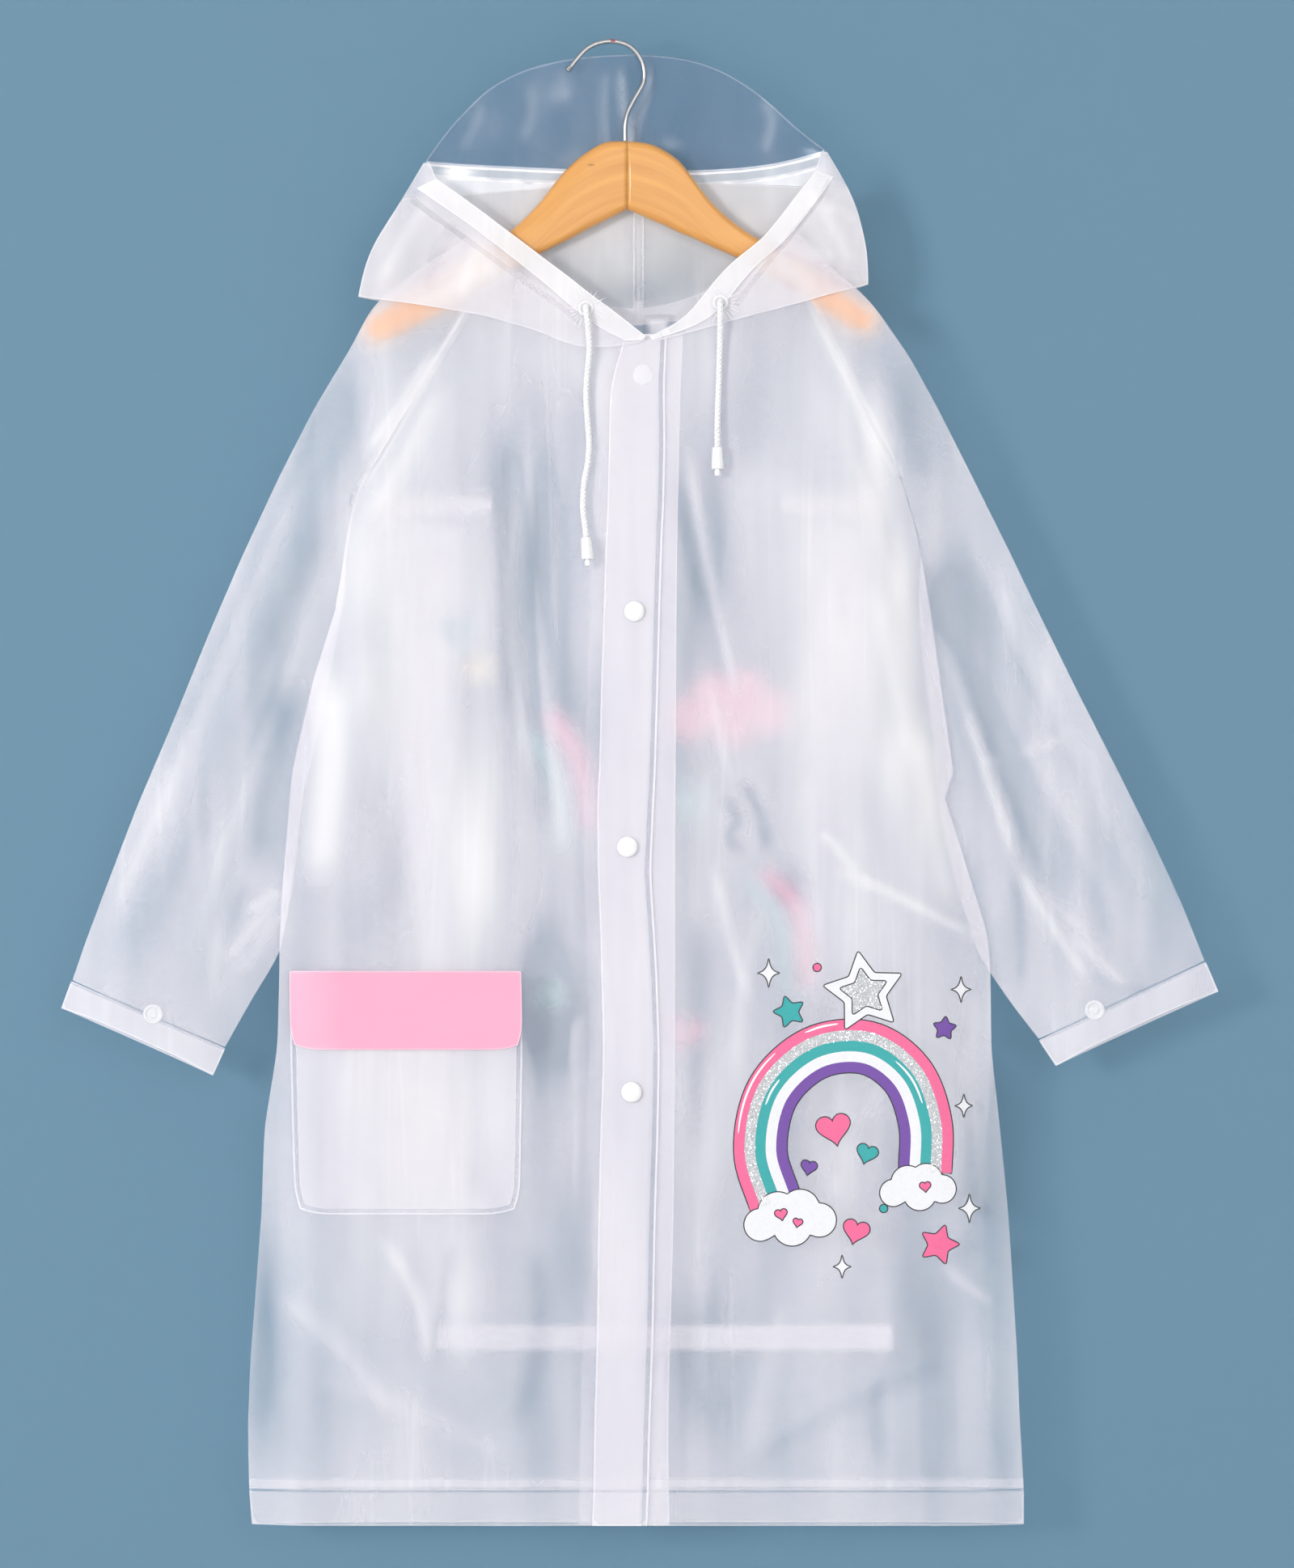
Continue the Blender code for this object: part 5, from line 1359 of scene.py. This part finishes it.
# %% Braid
LEFT_CORD = [
    (-19.0, -13.5, -190.8), (-18.8, -16.0, -194.0), (-18.0, -17.0, -199.8), (-17.2, -16.2, -208.0),
    (-16.4, -15.0, -218.0), (-16.8, -13.6, -228.0), (-18.2, -12.6, -242.0), (-18.8, -12.4, -256.0),
    (-17.6, -12.6, -274.0), (-16.6, -13.0, -290.0), (-17.6, -13.6, -304.0), (-20.2, -14.0, -318.0),
    (-21.0, -14.6, -336.0), (-19.4, -15.6, -350.0), (-18.8, -16.4, -357.6),
]
RIGHT_CORD = [
    (78.0, -13.5, -186.8), (78.0, -16.0, -190.0), (78.0, -16.9, -195.8), (78.0, -15.6, -206.0),
    (77.8, -13.8, -218.0), (77.4, -12.8, -232.0), (77.0, -12.8, -246.0), (76.4, -13.4, -262.0),
    (76.0, -14.8, -278.0), (76.0, -16.0, -292.4),
]
PLAITS, PITCH = 4, 0.0125


def cord_look(tree):
    long = node(tree, "ShaderNodeMapping", 0, None, Vector=object_place(tree), Scale=(1, 1, 0.35))
    fibre = noise_at(tree, long, 5200.0, 2.0)
    return {"Base Color": mixed(tree, fibre, (0.80, 0.80, 0.84, 1), (0.96, 0.96, 0.97, 1)),
            "Normal": bumps_of(tree, fibre, 0.5, 0.0002)}


def build_braid_tree(material):
    tree, start, end, keys = new_geometry_tree("round braid", [
        ("Plaits", INTEGER, PLAITS), ("Pitch", FLOAT, PITCH), ("Lay radius", FLOAT, 0.00142),
        ("Weave", FLOAT, 0.00024), ("Strand radius", FLOAT, 0.00073), ("Core radius", FLOAT, 0.0013)])
    fine = node(tree, "GeometryNodeResampleCurve", 0, {"mode": "LENGTH"}, Curve=start["Geometry"],
                Length=0.0006)
    strands = times(tree, start["Plaits"], 2.0)
    copies = node(tree, "GeometryNodeDuplicateElements", 0, {"domain": "SPLINE"}, Geometry=fine,
                  Amount=strands)
    number = copies.node.outputs["Duplicate Index"]
    odd = maths(tree, "MODULO", number, 2.0)
    way = minus(tree, 1.0, times(tree, odd, 2.0))
    pair = maths(tree, "FLOOR", maths(tree, "DIVIDE", number, 2.0))
    length = node(tree, "GeometryNodeSplineParameter", "Length")
    turns = maths(tree, "DIVIDE", length, start["Pitch"])
    phase = maths(tree, "DIVIDE", pair, start["Plaits"])
    angle = times(tree, plus(tree, times(tree, turns, way), phase), math.tau)
    beat = times(tree, times(tree, turns, start["Plaits"]), math.tau)
    rise = times(tree, times(tree, maths(tree, "COSINE", beat), way), start["Weave"])
    radius = plus(tree, start["Lay radius"], rise)
    normal = node(tree, "GeometryNodeInputNormal")
    tangent = node(tree, "GeometryNodeInputTangent")
    side = vector_maths(tree, "CROSS_PRODUCT", tangent, normal)
    out = scaled(tree, normal, times(tree, maths(tree, "COSINE", angle), radius))
    across = scaled(tree, side, times(tree, maths(tree, "SINE", angle), radius))
    moved = node(tree, "GeometryNodeSetPosition", 0, None, Geometry=copies,
                 Offset=vector_maths(tree, "ADD", out, across))
    braid = node(tree, "GeometryNodeCurveToMesh", 0, None, Curve=moved, Fill_Caps=True,
                 Profile_Curve=ring_of(tree, 5, start["Strand radius"]))
    core = node(tree, "GeometryNodeCurveToMesh", 0, None, Curve=fine, Fill_Caps=True,
                Profile_Curve=ring_of(tree, 12, start["Core radius"]))
    end_in_mesh(tree, joined(tree, core, braid), material, end)
    return tree, keys


def curve_object(name, points):
    data = bpy.data.curves.new(name, "CURVE")
    data.dimensions = "3D"
    spline = data.splines.new("POLY")
    spline.points.add(len(points) - 1)
    for slot, point in zip(spline.points, points):
        slot.co = (*point, 1.0)
    return placed(name, data)


cord_finish = new_material("white braided cord", cord_look, Roughness=0.75, Sheen_Weight=0.25,
                           Sheen_Roughness=0.5)
braid_tree, braid_keys = build_braid_tree(cord_finish)
END_SHAPE = [(2.9, 0.0), (3.7, 0.15), (3.9, 3.0), (4.1, 7.0), (4.3, 11.5), (4.5, 15.5), (4.35, 15.9),
             (2.6, 16.0), (2.4, 15.6)]
TIP_SHAPE = [(1.7, -0.6), (1.9, 0.4), (2.2, 1.4), (2.15, 3.6), (1.9, 4.4), (1.2, 4.5)]


def ridged_end(name, place, along):
    """A moulded cord end: a flattened bell with shallow flutes down its sides."""
    mesh = turned_mesh(name, rounded(END_SHAPE, 2), place, along, 48)
    across = Vector(along).normalized()
    for vert in mesh.vertices:
        spoke = vert.co - place
        up = spoke.dot(across)
        out = spoke - across * up
        angle = math.atan2(out.y, out.x)
        flute = 0.018 * math.cos(10 * angle) if 0.002 < up < 0.0148 else 0.0
        vert.co = place + across * up + out * (1 - 0.02 + flute)
    return mesh


for side, points in (("left", LEFT_CORD), ("right", RIGHT_CORD)):
    route = [p * MM for p in smooth_path(points, 6)]
    cord = grown("braid_" + side, curve_object("route_" + side, route), braid_tree, braid_keys,
                 Plaits=PLAITS)
    finish(cord, cord_finish, "cord", "cord_" + side)
    along = (route[-1] - route[-4]).normalized()
    end = placed("end_" + side, ridged_end("end_" + side, route[-1] + along * 0.0003, along))
    end.data.shade_smooth()
    finish(end, white_plastic, "white", "cord_end_" + side)
    foot = route[-1] + along * 0.0166
    tip = turned("tip_" + side, rounded(TIP_SHAPE, 2), foot, along, 20)
    finish(tip, cord_finish, "cord", "cord_tip_" + side)
    length = sum((b - a).length for a, b in zip(route, route[1:]))
    tuple(route[0])
    [tuple(p) for p in route]
    print("cord", side, "is", round(length / MM, 1), "mm long, with", len(cord.data.polygons), "faces")

# %% [markdown]
# ## Hanger
# The hanger is two shaped pieces of pale wood, glued at the middle, under clear lacquer.
# A table gives the section at each station along an arm. More sections are put between
# them on a smooth curve, and each section has many points, so that the lacquered edges
# shine in one line. Each point also keeps how far along and across the arm it is, because
# the grain follows the arm.

# %% Hanger arms
# One row for each station: X, top, foot and half thickness.
LEFT_ARM = [
    (10.97, -70.5, -120, 6.0), (-5, -71.5, -128, 6.0), (-19, -79, -135, 6.0), (-30, -88, -141, 6.0),
    (-40, -99, -146, 6.0), (-55, -118, -153.5, 6.0), (-75, -137, -165, 6.0), (-96, -153, -177.5, 6.0),
    (-120, -168, -192, 6.0), (-145, -181, -206, 5.8), (-160, -189.5, -213.5, 5.2), (-168, -196, -214, 3.8),
    (-172, -201, -211, 2.6),
]
RIGHT_ARM = [
    (11.03, -70.5, -120, 6.0), (27, -72.5, -127, 6.0), (39, -78, -132, 6.0), (49, -85.5, -137, 6.0),
    (57, -95.5, -140, 6.0), (72, -115, -147, 6.0), (90, -131, -155, 6.0), (110, -144, -166, 6.0),
    (132, -158, -178, 6.0), (155, -173, -194, 5.8), (172, -185.5, -205, 5.2), (180, -192.5, -206, 4.2),
    (184, -197.5, -204, 2.6),
]


def finer(stations, steps):
    """More stations on a smooth curve through the given ones."""
    ends = [2 * stations[0] - stations[1]] + stations + [2 * stations[-1] - stations[-2]]
    fine = []
    for a, b, c, d in zip(ends, ends[1:], ends[2:], ends[3:]):
        for k in range(steps):
            t = k / steps
            fine.append(0.5 * (2 * b + (c - a) * t + (2 * a - 5 * b + 4 * c - d) * t * t
                               + (3 * b - a - 3 * c + d) * t ** 3))
    return fine + [stations[-1]]


def arm_section(station, around=32):
    x, top, low, half = station
    tall = (top - low) / 2
    soft = min(half * 0.94, (top - low) / 3)
    points = []
    for k in range(around):
        angle = math.tau * (k + 0.5) / around
        sign_y = 1 if math.cos(angle) > 0 else -1
        sign_z = 1 if math.sin(angle) > 0 else -1
        points.append(Vector((x, sign_y * (half - soft) + soft * math.cos(angle),
                              (top + low) / 2 + sign_z * (tall - soft) + soft * math.sin(angle))))
    return points


def build_arm(name, rows):
    stations = finer([Vector(row) for row in rows], 5)
    last = stations[-1]
    for share, size in ((0.5, 0.85), (0.85, 0.5), (1.0, 0.12)):
        middle = (last[1] + last[2]) / 2
        tall = (last[1] - last[2]) / 2 * size
        way = 1 if last[0] > 0 else -1
        stations.append(Vector((last[0] + way * 1.2 * share, middle + tall, middle - tall, last[3] * size)))
    bm = bmesh.new()
    along, across = bm.verts.layers.float.new("along"), bm.verts.layers.float.new("across")
    loops, run, before = [], 0.0, None
    for station in stations:
        here = Vector((station[0], 0, (station[1] + station[2]) / 2))
        run += (here - before).length if before else 0.0
        before = here
        loop = []
        for point in arm_section(station):
            vert = bm.verts.new(point * MM)
            vert[along] = run
            vert[across] = point.z - here.z
            loop.append(vert)
        loops.append(loop)
    mesh = skin(bm, loops, "wood_" + name)
    mesh.polygons[len(mesh.polygons) - 2].use_smooth = False
    return placed("wood_" + name, mesh)


def wood_look(tree):
    along, across = attribute(tree, "along"), attribute(tree, "across")
    place = object_place(tree)
    depth = node(tree, "ShaderNodeSeparateXYZ", "Y", None, Vector=place)

    def on_arm(x, y, z):
        return node(tree, "ShaderNodeCombineXYZ", 0, None, X=times(tree, along, x), Y=times(tree, depth, y),
                    Z=times(tree, across, z))

    band = noise_at(tree, on_arm(0.008, 60.0, 0.16), 1.0, 3.0, Roughness=0.55, Distortion=0.2)
    pores = noise_at(tree, on_arm(0.12, 400.0, 2.6), 1.0, 2.0)
    base = node(tree, "ShaderNodeValToRGB", "Color", None, Fac=band)
    ends = base.node.color_ramp.elements
    ends[0].position, ends[0].color = 0.28, (0.63, 0.272, 0.058, 1)
    ends[1].position, ends[1].color = 0.70, (0.755, 0.365, 0.088, 1)
    base = mixed(tree, ramp(tree, pores, 0.60, 0.72, 0.0, 0.14, False), base, (0.55, 0.25, 0.07, 1))
    on_front = node(tree, "ShaderNodeMapping", 0, None, Vector=place, Scale=(KNOT_LONG, 0.0, 1.0))
    knot_gap = vector_maths(tree, "DISTANCE", on_front, (KNOT_X * KNOT_LONG, 0.0, KNOT_Z))
    base = mixed(tree, ramp(tree, knot_gap, 0.0003, 0.0013, 0.60, 0.0), base, (0.22, 0.09, 0.03, 1))
    base = mixed(tree, ramp(tree, along, 0.10, 0.40, 0.30, 0.0, False), base, (0.45, 0.20, 0.05, 1))
    return {"Base Color": base, "Normal": bumps_of(tree, pores, 0.12, 0.0003)}


KNOT_X, KNOT_Z, KNOT_LONG = -0.0152, -0.0882, 0.34
wood = new_material("lacquered pale wood", wood_look, Roughness=0.42, Coat_Weight=0.5, Coat_Roughness=0.16)
for side, rows in (("left", LEFT_ARM), ("right", RIGHT_ARM)):
    finish(build_arm("hanger_" + side, rows), wood, "wood", "hanger_" + side)

# %% [markdown]
# ## Hook
# The hook is a bent steel wire with a bright finish and a small ringed bead at its tip. A
# curve with a round bevel follows the wire's centre line, and is then made a mesh.

# %% Hook
HOOK_PATH = [
    (-30.0, -16.6), (-24.4, -9.8), (-18.2, -3.6), (-10.0, 0.4), (0.0, 1.7), (9.6, -0.4), (16.2, -5.0),
    (21.0, -12.0), (23.2, -20.0), (22.6, -28.0), (19.0, -35.0), (14.4, -43.0), (10.8, -51.0), (9.4, -60.0),
    (9.4, -70.1),
]
WIRE = 1.7
BEAD = [(1.5, 0.0), (2.3, 0.5), (2.3, 1.5), (1.6, 2.0), (2.25, 2.6), (2.2, 3.4), (1.5, 4.0), (0.5, 4.2)]


def steel_look(tree):
    place = object_place(tree)
    mark = ramp(tree, vector_maths(tree, "DISTANCE", place, RED_MARK), 0.0018, 0.0024, 0.85, 0.0, False)
    return {"Base Color": mixed(tree, mark, (0.47, 0.47, 0.48, 1), (0.30, 0.03, 0.06, 1)),
            "Metallic": minus(tree, 1.0, mark),
            "Roughness": ramp(tree, noise_at(tree, place, 900.0, 3.0), 0.3, 0.8, 0.10, 0.26, False)}


RED_MARK = (0.0006, -0.0012, 0.0030)
steel = new_material("bright steel", steel_look)
wire = curve_object("wire", [Vector((p[0], 0, p[1])) * MM for p in smooth_path(HOOK_PATH, 8)])
wire.data.bevel_depth = WIRE * MM
wire.data.bevel_resolution = 6
wire.data.use_fill_caps = True
depsgraph = bpy.context.evaluated_depsgraph_get()
wire_mesh = bpy.data.meshes.new_from_object(wire.evaluated_get(depsgraph), depsgraph=depsgraph)
bpy.data.objects.remove(wire)
wire_mesh.shade_smooth()
finish(placed("bright_hook", wire_mesh), steel, "steel", "hook")
tip, behind_tip = (Vector((x, 0, z)) for x, z in HOOK_PATH[:2])
bead = turned("bright_bead", rounded(BEAD, 2), tip * MM, tip - behind_tip, 24)
finish(bead, steel, "steel", "hook_tip")

# %% [markdown]
# ## Printed design
# The front has a printed design of flat inks with thin dark outlines: a rainbow between
# two clouds, stars, hearts and sparkles, partly in silver glitter. Each shape is an outline
# drawn by rule. It is filled with small triangles, dropped on the film's own surface and
# lifted by a hair for each layer of ink, so that it bends with the folds.

# %% Shapes to print
def star(x, z, size, inner=0.5, turn=0.0):
    points = []
    for k in range(10):
        reach = size if k % 2 == 0 else size * inner
        angle = math.pi / 2 + turn + math.pi * k / 5
        points.append((x + reach * math.cos(angle), z + reach * math.sin(angle)))
    return softened(points, 1.2, 2)


def heart(x, z, size, turn=0.0):
    t = np.arange(48) * math.tau / 48
    a = 16 * np.sin(t) ** 3 * size / 17
    b = (13 * np.cos(t) - 5 * np.cos(2 * t) - 2 * np.cos(3 * t) - np.cos(4 * t)) * size / 17
    c, s = math.cos(turn), math.sin(turn)
    return np.column_stack((x + a * c - b * s, z + a * s + b * c))[::-1]


def sparkle(x, z, size):
    t = np.arange(32) * math.tau / 32
    c, s = np.cos(t), np.sin(t)
    return np.column_stack((x + 0.76 * size * c * np.abs(c) ** 2.6, z + size * s * np.abs(s) ** 2.6))


def cloud(x, z, size, puffs):
    """The outline of a group of round puffs, each (across, up, radius) from the middle."""
    points = []
    for k in range(110):
        t = math.tau * k / 110
        reach = 0.0
        for across, up, radius in puffs:
            near = across * math.cos(t) + up * math.sin(t)
            square = near * near - (across * across + up * up - radius * radius)
            if square > 0:
                reach = max(reach, near + math.sqrt(square))
        points.append((x + size * reach * math.cos(t), z + size * reach * math.sin(t)))
    return np.array(points)


def round_spot(x, z, size):
    t = np.arange(20) * math.tau / 20
    return np.column_stack((x + size * np.cos(t), z + size * np.sin(t)))


def line_and_side(path):
    """Points along a smooth path, and the unit vector to its side at each."""
    line = np.array([tuple(p) for p in smooth_path(path, 8)])
    run = np.gradient(line, axis=0)
    run /= np.hypot(*run.T)[:, None]
    return line, np.column_stack((-run[:, 1], run[:, 0]))


def ribbon(path, near, far, taper=0.0):
    """A band between two offsets of a path. taper narrows both ends."""
    line, side = line_and_side(path)
    width = 1 - taper * (1 - np.sin(np.pi * np.linspace(0, 1, len(line))) ** 0.35)
    middle = (near + far) / 2
    low = line + side * (middle + (near - middle) * width)[:, None]
    high = line + side * (middle + (far - middle) * width)[:, None]
    return np.concatenate((low, high[::-1]))


def softened(points, step, rounds):
    line = []
    for a, b in zip(points, points[1:] + points[:1]):
        parts = max(1, round(math.dist(a, b) / step))
        for k in range(parts):
            line.append((a[0] + (b[0] - a[0]) * k / parts, a[1] + (b[1] - a[1]) * k / parts))
    line = np.array(line)
    for _ in range(rounds):
        line = line * 0.5 + (np.roll(line, 1, 0) + np.roll(line, -1, 0)) * 0.25
    return line


CLOUD_PUFFS = [(-1.0, -0.25, 0.5), (-0.45, 0.15, 0.62), (0.25, 0.25, 0.6), (0.85, -0.1, 0.52),
               (0.0, -0.3, 0.6)]
ARCH = [(118, -838), (107, -800), (116, -758), (146, -730), (184, -726), (213, -746), (226, -780),
        (226, -816)]
BAND_WIDTH = 7.6
SHAPES = []
for k, ink in enumerate(("pink", "glitter", "teal", "white", "purple")):
    start = (2 - k) * BAND_WIDTH
    SHAPES.append((ink, ribbon(ARCH, start - BAND_WIDTH / 2, start + BAND_WIDTH / 2), 0))


def arch_part(first, last, offset):
    """Some points of the arch's middle line, moved sideways."""
    line, side = line_and_side(ARCH)
    return [tuple(p) for p in (line + side * offset)[first:last:2]]


for first, last, offset in ((10, 21, 16.5), (24, 29, 16.5), (37, 46, 1.2), (14, 20, 1.2)):
    SHAPES.append(("shine", ribbon(arch_part(first, last, offset), -0.8, 0.8, 0.9), 1))
SHAPES += [
    ("white", cloud(130, -848, 23, CLOUD_PUFFS), 2), ("white", cloud(222, -826, 19, CLOUD_PUFFS[::-1]), 2),
    ("white", star(182, -686, 30, 0.52, 0.15), 3), ("glitter", star(182, -686, 18, 0.52, 0.15), 4),
    ("pink", star(236, -868, 15, 0.5, -0.3), 0), ("teal", star(128, -700, 12, 0.5, 0.3), 0),
    ("purple", star(240, -712, 9, 0.5, -0.1), 0),
    ("pink", heart(160, -784, 13, 0.2), 0), ("teal", heart(184, -802, 8, -0.3), 0),
    ("purple", heart(142, -812, 6, -0.2), 0), ("pink", heart(176, -858, 10, -0.25), 0),
    ("pink", heart(122, -846, 4.5, 0.2), 3), ("pink", heart(134, -852, 3.4, -0.2), 3),
    ("pink", heart(226, -826, 4.0, 0.1), 3), ("teal", round_spot(196, -842, 2.6), 0),
    ("pink", round_spot(148, -668, 2.6), 0),
    ("white", sparkle(113, -672, 10), 0), ("white", sparkle(252, -684, 9), 0),
    ("white", sparkle(258, -842, 10), 0), ("white", sparkle(166, -884, 8), 0),
    ("white", sparkle(254, -768, 8), 0),
]
OUTLINE = 0.85
LIFT, LIFT_STEP, INK, PRINT_STEP = 0.04, 0.06, 0.02, 2.6
print("printed shapes:", len(SHAPES))

# %% Inks
INKS = {
    "pink": (0.86, 0.135, 0.31, 1), "teal": (0.025, 0.38, 0.385, 1), "purple": (0.165, 0.06, 0.36, 1),
    "white": (0.83, 0.83, 0.86, 1), "shine": (0.86, 0.86, 0.88, 1), "glitter": (0.56, 0.57, 0.60, 1),
    "outline": (0.02, 0.02, 0.03, 1),
}
UNDERCOAT = (0.80, 0.80, 0.82, 1)


def ink_material(name, colour, roughness=0.42, metallic=0.0):
    """Ink that covers a little unevenly. From behind, its pale undercoat shows."""
    def look(tree):
        lay = noise_at(tree, object_place(tree), 420.0, 3.0)
        normal = node(tree, "ShaderNodeNewGeometry", "Normal")
        way = node(tree, "ShaderNodeSeparateXYZ", "Y", None, Vector=normal)
        ink = mixed(tree, lay, [c * 0.88 for c in colour[:3]] + [1.0], colour)
        return {"Base Color": mixed(tree, maths(tree, "GREATER_THAN", way, 0.0), ink, UNDERCOAT),
                "Normal": bumps_of(tree, lay, 0.2, 0.0002)}
    return new_material(name, look, Roughness=roughness, Metallic=metallic)


inks = {name: ink_material("ink " + name, colour) for name, colour in INKS.items()}
panel_tree = tree_of("film_front_right")


def print_layer(name, shapes, material):
    """Shapes with their lifts, in millimetres, laid on the front panel as one mesh."""
    bm = bmesh.new()
    for shape, lift in shapes:
        flat, faces = fill(shape * MM, PRINT_STEP * MM)
        y = drop_on(panel_tree, flat, FRONT) - lift * MM
        verts = [bm.verts.new((x, h, z)) for (x, z), h in zip(flat, y)]
        for face in faces:
            bm.faces.new([verts[i] for i in face])
    for face in bm.faces:
        face.normal_update()
        if face.normal.y > 0:
            face.normal_flip()
    obj = placed("print_" + name, smooth_mesh(bm, "print_" + name))
    thicken(obj, INK)
    finish(obj, material, "band")


layers = {}
for ink, shape, level in SHAPES:
    lift = LIFT + LIFT_STEP * level
    layers.setdefault(ink, []).append((shape, lift + INK * 1.5))
    if ink != "shine":
        layers.setdefault("outline", []).append((grow_shape(shape, OUTLINE), lift))
for ink, shapes in layers.items():
    print_layer(ink, shapes, inks[ink])
print("ink layers:", {ink: len(shapes) for ink, shapes in layers.items()})

# %% [markdown]
# ## Glitter
# Glitter is thousands of tiny flakes set in clear ink. Geometry Nodes scatter small
# hexagons over the glitter shapes with a fixed seed, and tilt each a little, so that they
# catch the light one by one.

# %% Flakes
def build_flake_tree(material):
    tree, start, end, keys = new_geometry_tree("scattered flakes", [
        ("Per square metre", FLOAT, 900000.0), ("Flake radius", FLOAT, 0.00034), ("Tilt", FLOAT, 0.5)])
    spots = node(tree, "GeometryNodeDistributePointsOnFaces", "Points", {"distribute_method": "RANDOM"},
                 Mesh=start["Geometry"], Density=start["Per square metre"], Seed=9)
    facing = spots.node.outputs["Rotation"]
    flake = node(tree, "GeometryNodeMeshCylinder", "Mesh", {"fill_type": "NGON"}, Vertices=6,
                 Radius=start["Flake radius"], Depth=0.00003)
    tilt = node(tree, "FunctionNodeRandomValue", 0, {"data_type": "FLOAT_VECTOR"}, Seed=5)
    least = vector_maths(tree, "MULTIPLY", (-1, -1, -3), start["Tilt"])
    most = vector_maths(tree, "MULTIPLY", (1, 1, 3), start["Tilt"])
    tree.links.new(least, tilt.node.inputs[0])
    tree.links.new(most, tilt.node.inputs[1])
    turned = node(tree, "FunctionNodeRotateRotation", 0, {"rotation_space": "LOCAL"}, Rotation=facing)
    tree.links.new(node(tree, "FunctionNodeEulerToRotation", 0, None, _0=tilt), turned.node.inputs[1])
    flakes = node(tree, "GeometryNodeInstanceOnPoints", 0, None, Points=spots, Instance=flake,
                  Rotation=turned)
    raised = node(tree, "GeometryNodeTransform", 0, None, Geometry=flakes, Translation=(0, -0.00012, 0))
    end_in_mesh(tree, raised, material, end)
    return tree, keys


flake_metal = ink_material("silver flakes", (0.86, 0.87, 0.90, 1), 0.22, 1.0)
flake_tree, flake_keys = build_flake_tree(flake_metal)
scatter = placed("scatter", bpy.data.objects["print_glitter"].data.copy())
flakes = grown("print_flakes", scatter, flake_tree, flake_keys)
finish(flakes, flake_metal, "band")
print("flakes:", len(flakes.data.polygons) // 8)

# %% [markdown]
# ## The print on the back
# The back has a print too. From the front it shows through two milky films as soft patches
# of colour, while from behind it has clean edges. One patch of mesh does both: it keeps
# its distance to the shape's edge, and the material makes that edge soft on the inner side
# and sharp on the outer side.

# %% Back print
BACK_SHAPES = [
    ("teal", heart(-112, -424, 14, 0.1)), ("yellow", star(-96, -452, 9, 0.5, 0.2)),
    ("pink", cloud(88, -480, 30, CLOUD_PUFFS)),
    ("pink", ribbon([(-44, -486), (-24, -520), (-16, -566)], -6, 6, 0.5)),
    ("teal", ribbon([(-60, -500), (-40, -532), (-34, -580)], -6, 6, 0.5)),
    ("pink", ribbon([(112, -600), (136, -630), (142, -680)], -5.5, 5.5, 0.4)),
    ("teal", ribbon([(100, -606), (122, -634), (128, -684)], -6.5, 6.5, 0.4)),
    ("teal", star(56, -548, 17, 0.5, 0.3)), ("pink", heart(52, -716, 13, -0.2)),
    ("teal", round_spot(-45, -688, 9)), ("purple", heart(18, -600, 11, 0.3)),
]
BACK_INKS = dict(INKS, yellow=(0.85, 0.72, 0.22, 1))
SOFT_REACH, PATCH_STEP = 13.0, 2.5


def back_print_look(tree):
    inside_by = attribute(tree, "inside")
    inner = node(tree, "ShaderNodeNewGeometry", "Backfacing")
    soft = ramp(tree, inside_by, -SOFT_REACH, SOFT_REACH * 0.8, 0.0, 0.80)
    sharp = ramp(tree, inside_by, -0.15, 0.15, 0.0, 0.95, False)
    cover = node(tree, "ShaderNodeMix", "Result", None, _0=inner, _2=sharp, _3=soft)
    return {"Alpha": times(tree, cover, in_shadow(tree, 0.2)),
            "Base Color": mixed(tree, times(tree, inner, 0.30), attribute(tree, "ink", "Color"), MILK)}


MILK = (0.90, 0.90, 0.93, 1)


def build_back_print():
    tree = tree_of("film_back")
    verts, faces, colours, inside_by = [], [], [], []
    for number, (ink, shape) in enumerate(BACK_SHAPES):
        middle = shape.mean(0)
        reach = max(np.hypot(*(shape - middle).T)) + SOFT_REACH
        flat, tris = fill(round_spot(*middle, reach) * MM, PATCH_STEP * MM)
        spots = flat / MM
        gap = away_from(shape, spots, True)[0] * np.where(inside(shape, spots), 1, -1)
        y = drop_on(tree, flat, BACK) + (0.15 + 0.04 * number) * MM
        start = len(verts)
        verts += [(x, h, z) for (x, z), h in zip(flat, y)]
        keep = [f for f in tris if max(gap[i] for i in f) > -SOFT_REACH]
        faces += [tuple(start + i for i in f) for f in keep]
        colours += [BACK_INKS[ink]] * len(flat)
        inside_by += list(gap)
    mesh = bpy.data.meshes.new("back_print")
    mesh.from_pydata(verts, [], faces)
    keep_values(mesh, "inside", inside_by)
    keep_values(mesh, "ink", colours, "FLOAT_COLOR", "color")
    bm = bmesh.new()
    bm.from_mesh(mesh)
    bmesh.ops.delete(bm, geom=[v for v in bm.verts if not v.link_faces], context="VERTS")
    for face in bm.faces:
        if face.normal.y < 0:
            face.normal_flip()
    bm.to_mesh(mesh)
    bm.free()
    mesh.shade_smooth()
    return placed("back_print", mesh)


back_ink = new_material("ink on the back", back_print_look, Roughness=0.45)
finish(build_back_print(), back_ink, "band")

# %% Cut sizes and areas
print("cut sizes, mm, and areas, square mm:", CUTS)
